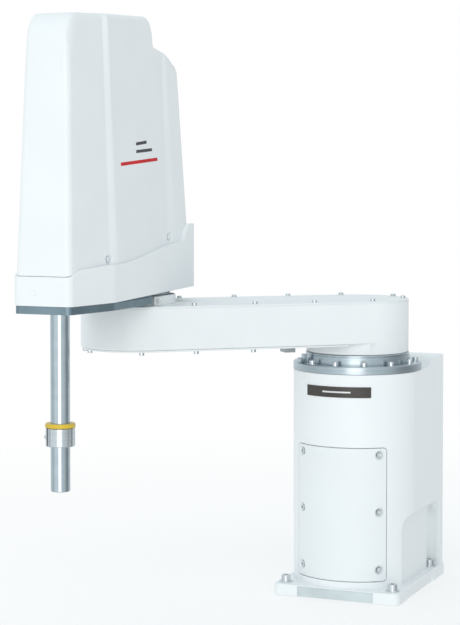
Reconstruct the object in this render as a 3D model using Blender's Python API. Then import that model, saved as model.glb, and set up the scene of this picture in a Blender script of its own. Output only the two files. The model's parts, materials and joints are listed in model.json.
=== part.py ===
"""SCARA robot arm: a four-axis arm on a pedestal base.

Frame: origin on the first joint's axis at the underside of the base, +Z up,
the curved front of the base faces -Y. The arm is modelled at its rest pose.
Every size below is in millimetres and in degrees; the mesh helpers turn
millimetres into metres.
"""

import math

import bmesh
import bpy
from mathutils import Matrix, Vector

MM = 0.001
GAP = 0.3                      # clearance between pieces that touch

# arm lengths and rest pose
ARM1_LENGTH = 325.0
ARM2_LENGTH = 225.0
ARM1_HEADING = 219.3           # direction of arm 1 at rest, from +X
ARM2_HEADING = 270.0           # direction of arm 2 at rest, from +X

# base casting
COLUMN_R = 91.0
FLANK_X = 90.0                 # half width between the flat flanks
REAR_Y = 134.6
PLATE_HALF_X = 92.5
PLATE_FRONT_Y = -95.5
PLATE_T = 16.6
FLOOR_Z = 15.0                 # floor of the hollow column
COLUMN_TOP = 315.0
REAR_TOP = 327.0
WALL = 9.0
RECESS_X = 80.0                # floor of the side recesses
RECESS_Y = (-42.0, 116.0)
NICHE_R = 18.0                 # room round the rear mounting bolts
PANEL_HALF_ANGLE = 46.0
PANEL_Z = (26.0, 213.6)
PANEL_T = 4.0
PANEL_SCREW_SINK = 2.4
BOLT_X = 79.0
BOLT_YS = (-78.0, 99.0)
LABEL_HALF_ANGLE = 31.0
LABEL_Z = (283.5, 298.5)

# first joint
FLANGE_R = 91.5
FLANGE_TOP = 326.2
REDUCER_R = 73.8
REDUCER_TOP = 340.5

# arm 1
ARM1_R1 = 73.0
ARM1_R2 = 77.0
ARM1_BOTTOM = 356.6
ARM1_COVER_T = 2.3
ARM1_RIM = 412.8
ARM1_TOP = 416.2
BOSS_BOTTOM = 340.9
ARM1_WALL = 7.0
ARM1_FLOOR = 366.0
J2_BOSS_R = 54.0
J2_BORE_R = 46.0
J2_BOSS_TOP = 428.6

# arm 2, in its own frame: +X runs from the second joint to the shaft
FRAME_BOTTOM = 420.0
FRAME_STEP = 431.3             # underside of the round pad over the second joint
FRAME_PLATE_Z = 436.0          # underside of the plate behind the nose
FRAME_TOP = 440.0
PAD_REAR_X = 62.0              # the thick pad under the nose ends here
SKIRT_NOSE_X = 274.0
SKIRT_REAR_X = -87.0
SKIRT_WALL = 3.5
SKIRT_LIP = 9.0                # rim that the cover stands on
CREASE_X = 182.0
COVER_WALL = 3.0
COVER_NOSE_X = 271.5
COVER_REAR_X = -74.0
COVER_TOP_NOSE = 797.0
COVER_EDGE_R = 9.0
COVER_NOSE_TURN = (72.0, 84.0)    # half axes of the curve from nose to top on the flanks
COVER_NOSE_CORNER = (26.0, 41.0)  # half axes of that curve on the centre line
COVER_SCREW_SINK = 1.5
RIB1_X = 174.0
RIB2_X = -4.0
COVER_SCREWS = ((184.5, 485.5), (-9.0, 507.5))

# shaft and its drive
SHAFT_R = 12.5
SHAFT_BORE_R = 9.0
SHAFT_BOTTOM = 191.0
SHAFT_TOP = 654.0
COLLAR_TURN = -34.0            # direction of the slit of the clamp collar
SPLINE_PULLEY_R = 28.0
SPLINE_MOTOR_PULLEY_R = 10.0
SCREW_PULLEY_R = 24.0
SCREW_MOTOR_PULLEY_R = 12.0
BELT_T = 1.6
J3_MOTOR_X = 150.0
J4_MOTOR_X = 72.0


# ---------------------------------------------------------------- helpers

def clear_scene():
    for obj in list(bpy.data.objects):
        bpy.data.objects.remove(obj, do_unlink=True)


def make_material(name, color, roughness, metallic=0.0):
    material = bpy.data.materials.new(name)
    material.use_nodes = True
    shader = material.node_tree.nodes["Principled BSDF"]
    shader.inputs["Base Color"].default_value = (*color, 1.0)
    shader.inputs["Roughness"].default_value = roughness
    shader.inputs["Metallic"].default_value = metallic
    return material


def make_empty(name, location, heading, parent=None):
    """An empty on a joint's axis. The pieces of that body are its children."""
    empty = bpy.data.objects.new(name, None)
    bpy.context.collection.objects.link(empty)
    empty.parent = parent
    empty.location = Vector(location) * MM
    empty.rotation_euler = (0.0, 0.0, math.radians(heading))
    return empty


def object_from(bm):
    bmesh.ops.recalc_face_normals(bm, faces=bm.faces)
    mesh = bpy.data.meshes.new("piece")
    bm.to_mesh(mesh)
    bm.free()
    obj = bpy.data.objects.new("piece", mesh)
    bpy.context.collection.objects.link(obj)
    return obj


def loft(rings, close=False):
    """A skin through rings with equal point counts: capped, or closed from the last ring to the first."""
    bm = bmesh.new()
    rows = [[bm.verts.new(Vector(p) * MM) for p in ring] for ring in rings]
    pairs = list(zip(rows, rows[1:]))
    if close:
        pairs.append((rows[-1], rows[0]))
    else:
        bm.faces.new(rows[0])
        bm.faces.new(rows[-1])
    for low, high in pairs:
        count = len(low)
        for i in range(count):
            j = (i + 1) % count
            bm.faces.new((low[i], low[j], high[j], high[i]))
    return object_from(bm)


def prism(outline, bottom, top):
    return loft([[(x, y, z) for x, y in outline] for z in (bottom, top)])


def box(low, high):
    outline = [(low[0], low[1]), (high[0], low[1]), (high[0], high[1]), (low[0], high[1])]
    return prism(outline, low[2], high[2])


def turned(profile, steps=32, center=(0.0, 0.0)):
    """A closed (radius, z) profile turned about a vertical axis.

    Points with radius zero lie on the axis and share one vertex.
    """
    bm = bmesh.new()
    rings = []
    for radius, z in profile:
        if radius == 0.0:
            rings.append([bm.verts.new(Vector((*center, z)) * MM)] * steps)
            continue
        ring = []
        for i in range(steps):
            angle = math.tau * i / steps
            x = center[0] + radius * math.cos(angle)
            y = center[1] + radius * math.sin(angle)
            ring.append(bm.verts.new(Vector((x, y, z)) * MM))
        rings.append(ring)
    for k, low in enumerate(rings):
        high = rings[(k + 1) % len(rings)]
        for i in range(steps):
            j = (i + 1) % steps
            corners = list(dict.fromkeys((low[i], low[j], high[j], high[i])))
            if len(corners) > 2:
                bm.faces.new(corners)
    return object_from(bm)


def cylinder(radius, bottom, top, steps=32, center=(0.0, 0.0)):
    return turned([(0.0, bottom), (radius, bottom), (radius, top), (0.0, top)], steps, center)


def ring(outer, inner, bottom, top, steps=32, center=(0.0, 0.0)):
    profile = [(inner, bottom), (outer, bottom), (outer, top), (inner, top)]
    return turned(profile, steps, center)


def combine(obj, other, operation):
    """Apply a Boolean at once, and delete the second object."""
    modifier = obj.modifiers.new("combine", "BOOLEAN")
    modifier.operation = operation
    modifier.object = other
    bpy.context.view_layer.update()
    graph = bpy.context.evaluated_depsgraph_get()
    mesh = bpy.data.meshes.new_from_object(obj.evaluated_get(graph))
    obj.modifiers.clear()
    obj.data = mesh
    bpy.data.objects.remove(other, do_unlink=True)
    return obj


def cut(obj, *tools):
    for tool in tools:
        combine(obj, tool, "DIFFERENCE")
    return obj


def fuse(obj, *others):
    for other in others:
        combine(obj, other, "UNION")
    return obj


def name_piece(obj, name, material, parent):
    obj.name = name
    obj.data.name = name
    obj.data.materials.clear()
    obj.data.materials.append(material)
    obj.data.shade_smooth()
    obj.data.set_sharp_from_angle(angle=math.radians(32.0))
    obj.parent = parent
    return obj


def moved(obj, location=(0.0, 0.0, 0.0), axis="Z", degrees=0.0):
    """Turn a mesh about the origin, then shift it, leaving the object at the origin."""
    turn = Matrix.Rotation(math.radians(degrees), 4, axis)
    obj.data.transform(Matrix.Translation(Vector(location) * MM) @ turn)
    return obj


def arc(center, radius, start, end, steps):
    points = []
    for i in range(steps + 1):
        angle = math.radians(start + (end - start) * i / steps)
        points.append((center[0] + radius * math.cos(angle), center[1] + radius * math.sin(angle)))
    return points


def rounded_rectangle(x0, x1, y0, y1, radius, steps=3):
    corners = (
        ((x1 - radius, y1 - radius), 0.0),
        ((x0 + radius, y1 - radius), 90.0),
        ((x0 + radius, y0 + radius), 180.0),
        ((x1 - radius, y0 + radius), 270.0),
    )
    outline = []
    for center, start in corners:
        outline += arc(center, radius, start, start + 90.0, steps)
    return outline


def smooth_step(low, high, value):
    t = min(max((value - low) / (high - low), 0.0), 1.0)
    return t * t * (3.0 - 2.0 * t)


def socket_screw(head_r, head_h, shank_r, shank_l, washer_r=0.0, washer_t=0.0, steps=16):
    """A socket head screw along +Z: its head sits on z = 0, over a plain washer if it has one."""
    socket_r = head_r * 0.5
    socket_depth = head_h * 0.6
    top = washer_t + head_h
    profile = [(0.0, -shank_l), (shank_r, -shank_l), (shank_r, 0.0)]
    if washer_t > 0.0:
        profile += [(washer_r, 0.0), (washer_r, washer_t)]
    profile += [
        (head_r, washer_t),
        (head_r, top - 0.5),
        (head_r - 0.5, top),
        (socket_r, top),
        (socket_r, top - socket_depth),
        (0.0, top - socket_depth),
    ]
    return turned(profile, steps)


# ------------------------------------------------------------------- base

def column_outline(radius=COLUMN_R, half=FLANK_X, rear=REAR_Y, steps=28):
    """Front half round, flat flanks, square rear with small corners."""
    tangent = math.degrees(math.acos(half / radius))
    front = arc((0.0, 0.0), radius, tangent - 180.0, -tangent, steps)
    corner = 6.0
    right = arc((half - corner, rear - corner), corner, 0.0, 90.0, 3)
    left = arc((corner - half, rear - corner), corner, 90.0, 180.0, 3)
    return front + right + left


def rear_rise(steps=5):
    """The block behind the flange is hollowed round the first joint: its face curves outward going up."""
    profile = [(0.0, COLUMN_TOP - 20.0), (94.0, COLUMN_TOP - 20.0), (94.0, COLUMN_TOP - 0.4)]
    for i in range(steps + 1):
        share = i / steps
        profile.append((99.0 + 22.0 * share, COLUMN_TOP - 0.4 + 12.0 * smooth_step(0.0, 1.0, share)))
    profile += [(121.0, REAR_TOP + 5.0), (0.0, REAR_TOP + 5.0)]
    return turned(profile, 64)


def build_side_recess(side):
    """A shallow pocket in a flank, with a sloping top, and a domed niche round the rear bolt."""
    rings = []
    for depth, rise in ((0.0, 0.0), (FLANK_X - RECESS_X + 5.0, 15.0)):
        x = side * (RECESS_X + depth)
        top = 106.0 + rise
        low, high = RECESS_Y[0] - rise, RECESS_Y[1]
        ring = [(x, low, PLATE_T - 0.4), (x, high, PLATE_T - 0.4), (x, high, top)]
        ring += [(x, y, z) for y, z in arc((low + 14.0, top - 14.0), 14.0, 90.0, 180.0, 4)]
        rings.append(ring)
    recess = loft(rings)
    dome_z = 92.0
    profile = [(0.0, PLATE_T - 0.6), (NICHE_R, PLATE_T - 0.6)]
    for radius, z in arc((0.0, dome_z), NICHE_R, 0.0, 90.0, 5)[:-1]:
        profile.append((radius, z))
    profile.append((0.0, dome_z + NICHE_R))
    niche = turned(profile, 24, (side * BOLT_X, BOLT_YS[1]))
    return recess, niche


def build_base_casting():
    body = prism(column_outline(), 4.0, COLUMN_TOP)
    block = prism(column_outline(COLUMN_R - 0.4, FLANK_X - 0.4, REAR_Y - 0.4), COLUMN_TOP - 6.0, REAR_TOP)
    cut(block, rear_rise())
    plate = rounded_rectangle(-PLATE_HALF_X, PLATE_HALF_X, PLATE_FRONT_Y, REAR_Y + 0.8, 9.0)
    fuse(body, block, prism(plate, 0.0, PLATE_T))
    # the plate stands on four corner lobes, and its edges are cut back between them
    cut(
        body,
        box((-56.0, PLATE_FRONT_Y - 5.0, -1.0), (56.0, PLATE_FRONT_Y + 3.5, PLATE_T - 2.0)),
        box((PLATE_HALF_X - 2.0, -52.0, -1.0), (PLATE_HALF_X + 5.0, 72.0, PLATE_T - 5.0)),
        box((-PLATE_HALF_X - 5.0, -52.0, -1.0), (2.0 - PLATE_HALF_X, 72.0, PLATE_T - 5.0)),
    )
    # hollow column over a closed floor, thick round the rear bolts, open at the drive
    hollow = prism(column_outline(COLUMN_R - WALL, RECESS_X - 5.0, REAR_Y - WALL), FLOOR_Z, COLUMN_TOP - 12.0)
    for side in (-1.0, 1.0):
        cut(hollow, cylinder(NICHE_R + 5.0, 0.0, 120.0, 16, (side * BOLT_X, BOLT_YS[1])))
    cut(body, hollow, cylinder(62.0, COLUMN_TOP - 20.0, COLUMN_TOP + 5.0, 32))
    # front window behind the access panel, with a ledge for its screws
    bottom, top = PANEL_Z
    edge = PANEL_HALF_ANGLE
    window = [(0.0, 0.0)] + arc((0.0, 0.0), 110.0, -90.0 - edge, -90.0 + edge, 14)
    ledge = ring(130.0, COLUMN_R - PANEL_T - 0.5, bottom, top, 64)
    cut(body, combine(ledge, prism(window, bottom - 1.0, top + 1.0), "INTERSECT"))
    inner_edge = edge - 10.0
    inner = [(0.0, -20.0)] + arc((0.0, 0.0), 110.0, -90.0 - inner_edge, -90.0 + inner_edge, 10)
    cut(body, prism(inner, bottom + 12.0, top - 12.0))
    for side in (-1.0, 1.0):
        cut(body, *build_side_recess(side))
    # bolt holes and rear window
    for x in (-BOLT_X, BOLT_X):
        for y in BOLT_YS:
            cut(body, cylinder(4.5, -1.0, PLATE_T + 1.0, 12, (x, y)))
    cut(body, box((-52.0, REAR_Y - WALL - 5.0, 60.0), (52.0, REAR_Y + 5.0, 230.0)))
    cut(body, box((-60.0, REAR_Y - 3.3, 52.0), (60.0, REAR_Y + 5.0, 238.0)))
    return body


def build_front_panel():
    low, high = PANEL_Z[0] + 0.8, PANEL_Z[1] - 0.8
    edge = PANEL_HALF_ANGLE - 0.5
    outer = arc((0.0, 0.0), COLUMN_R, -90.0 - edge, -90.0 + edge, 16)
    inner = arc((0.0, 0.0), COLUMN_R - PANEL_T, -90.0 + edge, -90.0 - edge, 16)
    panel = prism(outer + inner, low, high)
    for angle, z in panel_screw_places():
        for tool in (cylinder(5.0, 0.0, 12.0, 12), cylinder(2.0, -6.0, 2.0, 8)):
            tool.data.transform(panel_screw_matrix(angle, z, -PANEL_SCREW_SINK))
            cut(panel, tool)
    return panel


def panel_screw_places():
    return [(angle, z) for angle in (-129.0, -51.0) for z in (42.0, 123.0, 203.0)]


def panel_screw_matrix(angle, z, sink):
    """Places a screw that points along +Z on the column's wall, radially."""
    turn = Matrix.Rotation(math.radians(angle), 4, "Z")
    lift = Matrix.Translation(Vector((COLUMN_R + sink, 0.0, z)) * MM)
    return turn @ lift @ Matrix.Rotation(math.radians(90.0), 4, "Y")


def build_name_plate():
    outer_r = COLUMN_R + GAP + 0.8
    edge = LABEL_HALF_ANGLE
    outer = arc((0.0, 0.0), outer_r, -90.0 - edge, -90.0 + edge, 12)
    inner = arc((0.0, 0.0), COLUMN_R + GAP, -90.0 + edge, -90.0 - edge, 12)
    return prism(outer + inner, *LABEL_Z)


def build_power_inlet():
    """Round multi-pole connector with a coupling ring, pointing to the rear."""
    profile = [(0.0, 0.0), (15.0, 0.0), (15.0, 5.0), (13.0, 5.0), (13.0, 12.0), (16.0, 12.0),
               (16.0, 24.0), (13.0, 24.0), (13.0, 14.0), (0.0, 14.0)]
    return turned(profile, 16)


def build_signal_inlet():
    shell = prism(rounded_rectangle(-24.0, 24.0, -11.0, 11.0, 4.0), 0.0, 18.0)
    return cut(shell, prism(rounded_rectangle(-20.0, 20.0, -8.0, 8.0, 3.0), 8.0, 20.0))


def build_air_fitting():
    profile = [(2.5, 0.0), (6.5, 0.0), (6.5, 7.0), (5.0, 7.0), (5.0, 15.0), (5.8, 15.0),
               (5.8, 18.0), (2.5, 18.0)]
    return turned(profile, 10)


def build_j1_flange():
    return ring(FLANGE_R, 60.4, COLUMN_TOP + GAP, FLANGE_TOP, 48)


def build_j1_reducer():
    profile = [(14.0, 262.0), (60.0, 262.0), (60.0, FLANGE_TOP + GAP), (REDUCER_R, FLANGE_TOP + GAP),
               (REDUCER_R, REDUCER_TOP), (14.0, REDUCER_TOP)]
    return turned(profile, 36)


def build_servo(size, length, flange_t):
    """A square servo motor standing on its flange at z = 0, with an encoder cap on top."""
    half = size / 2.0
    body = prism(rounded_rectangle(-half, half, -half, half, 4.0), 0.0, flange_t)
    trim = half - 1.5
    fuse(body, prism(rounded_rectangle(-trim, trim, -trim, trim, 6.0), flange_t - 1.0, length * 0.7))
    cap = half - 3.5
    return fuse(body, prism(rounded_rectangle(-cap, cap, -cap, cap, 5.0), length * 0.7 - 1.0, length))


def build_base(materials):
    paint, panel_paint = materials["casting_paint"], materials["cover_paint"]
    steel, dark = materials["machined_steel"], materials["dark_metal"]
    screw = materials["screw_steel"]
    name_piece(build_base_casting(), "base_casting", paint, None)
    name_piece(build_front_panel(), "base_front_panel", panel_paint, None)
    for number, (angle, z) in enumerate(panel_screw_places(), 1):
        piece = socket_screw(3.5, 2.4, 1.5, 2.2, steps=10)
        piece.data.transform(panel_screw_matrix(angle, z, GAP - PANEL_SCREW_SINK))
        name_piece(piece, f"panel_screw_{number}", screw, None)
    name_piece(build_name_plate(), "name_plate", materials["label"], None)
    name_piece(build_j1_flange(), "j1_flange", steel, None)
    name_piece(build_j1_reducer(), "j1_reducer", steel, None)
    motor = moved(build_servo(80.0, 120.0, 10.0), (0.0, 0.0, 262.0 - GAP), "X", 180.0)
    name_piece(motor, "j1_motor", dark, None)
    number = 0
    for x in (-BOLT_X, BOLT_X):
        for y in BOLT_YS:
            number += 1
            bolt = moved(socket_screw(6.5, 8.0, 4.0, 14.0, 9.0, 1.6, steps=12), (x, y, PLATE_T + GAP))
            name_piece(bolt, f"base_bolt_{number}", screw, None)
    heading = math.radians(ARM1_HEADING + 3.0)
    block = moved(box((-5.5, -4.5, FLANGE_TOP + GAP), (5.5, 4.5, 338.6)), (84.5, 0.0, 0.0))
    block.data.transform(Matrix.Rotation(heading, 4, "Z"))
    name_piece(block, "j1_stop_block", steel, None)
    # rear connector panel with its inlets
    panel = box((-59.6, REAR_Y - 3.0, 52.4), (59.6, REAR_Y, 237.6))
    name_piece(panel, "rear_panel", materials["aluminium"], None)
    rear = REAR_Y + GAP
    rear_pieces = (
        ("power_inlet", build_power_inlet(), (-28.0, 200.0), dark),
        ("signal_inlet", build_signal_inlet(), (24.0, 200.0), dark),
        ("air_fitting_1", build_air_fitting(), (-30.0, 110.0), materials["brass"]),
        ("air_fitting_2", build_air_fitting(), (0.0, 110.0), materials["brass"]),
        ("air_fitting_3", build_air_fitting(), (30.0, 110.0), materials["brass"]),
    )
    for name, piece, (x, z), material in rear_pieces:
        moved(piece, (x, rear, z), "X", -90.0)
        name_piece(piece, name, material, None)
    battery = box((-30.0, 60.0, FLOOR_Z + GAP), (30.0, 100.0, FLOOR_Z + 32.0))
    name_piece(battery, "backup_battery", materials["dark_plastic"], None)


# ------------------------------------------------------------------ arm 1

def arm1_outline(shrink=0.0, steps=12):
    """Outer tangents of two circles, in arm 1's frame: +X from the first joint to the second."""
    lean = math.degrees(math.asin((ARM1_R2 - ARM1_R1) / ARM1_LENGTH))
    far = arc((ARM1_LENGTH, 0.0), ARM1_R2 - shrink, -90.0 - lean, 90.0 + lean, steps)
    near = arc((0.0, 0.0), ARM1_R1 - shrink, 90.0 + lean, 270.0 - lean, steps)
    return far + near


def build_arm1_casting():
    edge = 1.5
    levels = ((ARM1_BOTTOM, edge), (ARM1_BOTTOM + edge, 0.0), (ARM1_RIM, 0.0))
    body = loft([[(x, y, z) for x, y in arm1_outline(shrink)] for z, shrink in levels])
    fuse(body, cylinder(72.4, BOSS_BOTTOM, ARM1_BOTTOM + 5.0, 40))
    cut(body, prism(arm1_outline(ARM1_WALL), ARM1_FLOOR, ARM1_RIM + 5.0))
    far = (ARM1_LENGTH, 0.0)
    fuse(body, ring(J2_BOSS_R, J2_BORE_R, ARM1_FLOOR - 4.0, J2_BOSS_TOP, 32, far))
    cut(body, cylinder(30.0, ARM1_BOTTOM - 5.0, ARM1_FLOOR + 5.0, 20, far))
    cut(body, cylinder(20.0, BOSS_BOTTOM - 5.0, ARM1_FLOOR + 5.0, 16))
    return body


def build_arm1_top_cover():
    edge = 1.2
    levels = ((ARM1_RIM + GAP, 0.0), (ARM1_TOP - edge, 0.0), (ARM1_TOP, edge))
    cover = loft([[(x, y, z) for x, y in arm1_outline(shrink)] for z, shrink in levels])
    hole = cylinder(J2_BOSS_R + GAP, ARM1_RIM - 5.0, ARM1_TOP + 5.0, 32, (ARM1_LENGTH, 0.0))
    return cut(cover, hole)


def build_arm1_bottom_cover():
    low = ARM1_BOTTOM - GAP - ARM1_COVER_T
    cover = prism(arm1_outline(2.0), low, ARM1_BOTTOM - GAP)
    return cut(cover, cylinder(82.0, low - 5.0, ARM1_BOTTOM + 5.0, 32))


def build_j2_reducer():
    profile = [(10.0, ARM1_FLOOR + GAP), (45.6, ARM1_FLOOR + GAP), (45.6, J2_BOSS_TOP - 0.2),
               (36.0, J2_BOSS_TOP - 0.2), (36.0, J2_BOSS_TOP - 4.0), (10.0, J2_BOSS_TOP - 4.0)]
    return turned(profile, 28, (ARM1_LENGTH, 0.0))


def build_arm1(axis, materials):
    paint = materials["casting_paint"]
    name_piece(build_arm1_casting(), "arm1_casting", paint, axis)
    name_piece(build_arm1_top_cover(), "arm1_top_cover", materials["cover_paint"], axis)
    name_piece(build_arm1_bottom_cover(), "arm1_bottom_cover", materials["cover_paint"], axis)
    flange = ring(46.0, 16.0, ARM1_FLOOR + GAP, ARM1_FLOOR + 9.0, 24)
    name_piece(flange, "j1_output_flange", materials["machined_steel"], axis)
    name_piece(build_j2_reducer(), "j2_reducer", materials["machined_steel"], axis)
    low = ARM1_BOTTOM - GAP
    tab = box((97.0, -11.0, low - 11.0), (113.0, 11.0, low - ARM1_COVER_T - GAP))
    name_piece(tab, "arm1_stop_tab", materials["dark_plastic"], axis)


# ------------------------------------------------------------------ arm 2

def skirt_half_width(x):
    if x > CREASE_X:
        return 57.0 - 17.0 * (x - CREASE_X) / (SKIRT_NOSE_X - CREASE_X)
    return 57.0 - 7.0 * (CREASE_X - x) / (CREASE_X - SKIRT_REAR_X)


def skirt_bottom(x):
    """The lower edge is level under the nose and rises a little to the rear."""
    return 430.0 + 5.5 * max(0.0, (CREASE_X - x) / (CREASE_X - SKIRT_REAR_X))


def skirt_top(x):
    """The parting line: low on the nose, then rising along the flanks to the rear."""
    level = 467.0 + 9.0 * smooth_step(-276.0, -246.0, -x)
    level += 3.0 * smooth_step(-252.0, -182.0, -x)
    level += 22.0 * smooth_step(-175.0, 60.0, -x)
    return level + 23.0 * smooth_step(42.0, 66.0, -x)


def cover_half_width(x, z):
    front = 50.5 - 12.0 * (x - RIB1_X) / (COVER_NOSE_X - RIB1_X)
    middle = 46.5 + 8.0 * (x - RIB2_X) / (RIB1_X - RIB2_X)
    rear = 49.5 + 2.5 * (x - RIB2_X) / (RIB2_X - COVER_REAR_X)
    # the two steps of the flank widen downward
    width = middle + (front - middle) * smooth_step(RIB1_X - 9.5 + 0.035 * (z - 510.0), RIB1_X + 9.0, x)
    width = rear + (width - rear) * smooth_step(RIB2_X - 26.0 + 0.075 * (z - 510.0), RIB2_X + 4.0, x)
    return width - 0.033 * (z - 470.0)


def cover_high(x):
    """Upper edge of the high front part, which rises a little to the rear."""
    return COVER_TOP_NOSE + 9.0 * (252.0 - x) / 206.0


def cover_shoulder(x):
    """Upper edge of the low rear part, which falls away to the rear."""
    return 767.0 - 0.0054 * (22.0 - x) ** 2


def skirt_outline(shrink=0.0):
    """Half outline from nose to rear on +Y, followed by its mirror image.

    Its points stand below the cover's columns, so that the two pieces meet along one line.
    """
    nose_x, rear_x = SKIRT_NOSE_X - shrink, SKIRT_REAR_X + shrink
    nose_r, rear_r = max(10.0 - shrink, 1.0), max(6.0 - shrink, 1.0)
    nose_y = skirt_half_width(nose_x - nose_r) - shrink - nose_r
    rear_y = skirt_half_width(rear_x + rear_r) - shrink - rear_r
    half = arc((nose_x - nose_r, nose_y), nose_r, 0.0, 90.0, 4)
    half += [(foot, skirt_half_width(foot) - shrink) for _, _, foot, _ in cover_edge()]
    half += arc((rear_x + rear_r, rear_y), rear_r, 90.0, 180.0, 3)
    return half + [(x, -y) for x, y in reversed(half)]


def build_arm2_skirt():
    """A wall with an inward rim at the top. Each ring is (shrink, share of the height, drop)."""
    outer = skirt_outline()
    rings = []
    for shrink, share, drop in (
        (0.0, 0.0, 0.0),
        (0.0, 1.0, 1.5),
        (1.2, 1.0, 0.0),
        (SKIRT_LIP, 1.0, 0.0),
        (SKIRT_LIP, 1.0, 3.0),
        (SKIRT_WALL, 1.0, 5.0),
        (SKIRT_WALL, 0.0, 0.0),
    ):
        points = []
        for (x, y), (station, _) in zip(skirt_outline(shrink), outer):
            z = skirt_top(station) - drop if share else skirt_bottom(station)
            points.append((x, y, z))
        rings.append(points)
    skirt = loft(rings, close=True)
    # shelf across the rear, where the cover's rear wall stands
    shelf_w = skirt_half_width(-80.0) - 2.0
    top = skirt_top(SKIRT_REAR_X)
    shelf = box((SKIRT_REAR_X + 2.0, -shelf_w, top - 4.0), (-66.0, shelf_w, top - 0.05))
    return fuse(skirt, shelf)


def inside_nose(x, z):
    """Whether a point of the side view lies inside the silhouette of nose and top."""
    turn_x, turn_z = COVER_NOSE_CORNER
    center_z = cover_high(COVER_NOSE_X - turn_x) - turn_z
    center_x = COVER_NOSE_X - 0.042 * (center_z - 470.0) - turn_x
    if x > center_x and z > center_z:
        return ((x - center_x) / turn_x) ** 2 + ((z - center_z) / turn_z) ** 2 <= 1.0
    return x < COVER_NOSE_X - 0.042 * (z - 470.0) and z < cover_high(x)


def nose_reach(x, z, normal):
    """Distance along a normal from a point of the border to the silhouette of the nose."""
    near, far = COVER_EDGE_R, 60.0
    for _ in range(20):
        middle = (near + far) / 2.0
        if inside_nose(x + normal.x * middle, z + normal.y * middle):
            near = middle
        else:
            far = middle
    return near


def cover_edge():
    """The border of the cover's flanks in side view, from the nose over the top to the rear.

    Each item is (x, z, foot, reach): a point of the border, where the line below it meets the
    parting line, and how far the silhouette lies outside it. The border turns in a wider
    curve than the silhouette does.
    """
    foot = COVER_NOSE_X - COVER_EDGE_R
    turn_x, turn_z = COVER_NOSE_TURN
    nose_z = cover_high(195.0) - turn_z
    nose = COVER_NOSE_X - 0.042 * (nose_z - 470.0) - turn_x
    half_x, half_z = turn_x - COVER_EDGE_R, turn_z - COVER_EDGE_R
    edge = []
    for i in range(9):
        angle = math.radians(11.25 * i)
        x = nose + half_x * math.cos(angle)
        z = nose_z + half_z * math.sin(angle)
        normal = Vector(((x - nose) / half_x ** 2, (z - nose_z) / half_z ** 2)).normalized()
        reach = nose_reach(x, z, normal)
        edge.append((x, z, foot + (nose - foot) * i / 8, reach))
    first_rib = [RIB1_X + step for step in (9.0, 4.0, -1.0, -6.0, -12.0)]
    for x in first_rib + [130.0, 90.0]:
        edge.append((x, cover_high(x) - COVER_EDGE_R, x, COVER_EDGE_R))
    # rounded step down to the shoulder, then a hollow curve
    step = []
    for i in range(6):
        angle = math.radians(18.0 * i)
        step.append((46.0 - 15.0 * math.sin(angle), 774.0 + (cover_high(46.0) - 783.0) * math.cos(angle)))
    step += [(15.0 + 16.0 * math.cos(a), 774.0 - 16.0 * math.sin(a)) for a in map(math.radians, (25, 50, 70))]
    edge += [(x, z, 46.0 - 31.0 * i / len(step), COVER_EDGE_R) for i, (x, z) in enumerate(step)]
    shoulder = [15.0] + [RIB2_X + step for step in (6.0, 0.0, -6.0, -12.0, -19.0)]
    edge += [(x, cover_shoulder(x) - COVER_EDGE_R, x, COVER_EDGE_R) for x in shoulder]
    rear = [(-32.0, cover_shoulder(-32.0) - COVER_EDGE_R), (-43.0, 735.2), (-45.6, 732.4), (-46.6, 729.0)]
    foot = COVER_REAR_X + COVER_EDGE_R
    for i, (x, z) in enumerate(rear):
        edge.append((x, z, -23.0 + (foot + 23.0) * (i + 1) / 4, COVER_EDGE_R))
    return edge


def cover_skin(wall):
    """One skin of the cover as (faces, rim): quads of points, and the loop along its open lower edge.

    Each flank is a fan of columns. A rounded border joins the flanks over nose, top and rear.
    """
    rows, steps = 2, 3
    edge = cover_edge()
    columns = []
    for x, z, foot, _ in edge:
        low = skirt_top(foot) + 0.5
        columns.append([(foot + (x - foot) * k / rows, low + (z - low) * k / rows) for k in range(rows + 1)])
    border = columns[0] + [column[-1] for column in columns[1:-1]] + columns[-1][::-1]
    straight = [COVER_EDGE_R] * rows
    reaches = straight + [reach for _, _, _, reach in edge] + straight
    strip = []
    for i, (x, z) in enumerate(border):
        before, after = border[max(i - 1, 0)], border[min(i + 1, len(border) - 1)]
        along = Vector((after[0] - before[0], after[1] - before[1])).normalized()
        half = []
        for k in range(steps + 1):
            angle = math.radians(90.0 * k / steps)
            out = (reaches[i] - wall) * math.sin(angle)
            y = cover_half_width(x, z) - wall - (COVER_EDGE_R - wall) * (1.0 - math.cos(angle))
            if i == 0:
                half.append((x + out, y, skirt_top(x + out) + 0.5))
            else:
                half.append((x + along.y * out, y, z - along.x * out))
        strip.append(half + [(x, -y, z) for x, y, z in reversed(half)])
    faces = quads(strip)
    for side in (-1.0, 1.0):
        flank = [[(x, side * (cover_half_width(x, z) - wall), z) for x, z in column] for column in columns]
        faces += quads(flank)
    feet = [(column[0][0], cover_half_width(*column[0]) - wall, column[0][1]) for column in columns]
    rim = feet + strip[-1][1:-1] + [(x, -y, z) for x, y, z in reversed(feet)] + strip[0][-2:0:-1]
    return faces, rim


def quads(grid):
    faces = []
    for low, high in zip(grid, grid[1:]):
        for i in range(len(low) - 1):
            faces.append((low[i], low[i + 1], high[i + 1], high[i]))
    return faces


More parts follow.
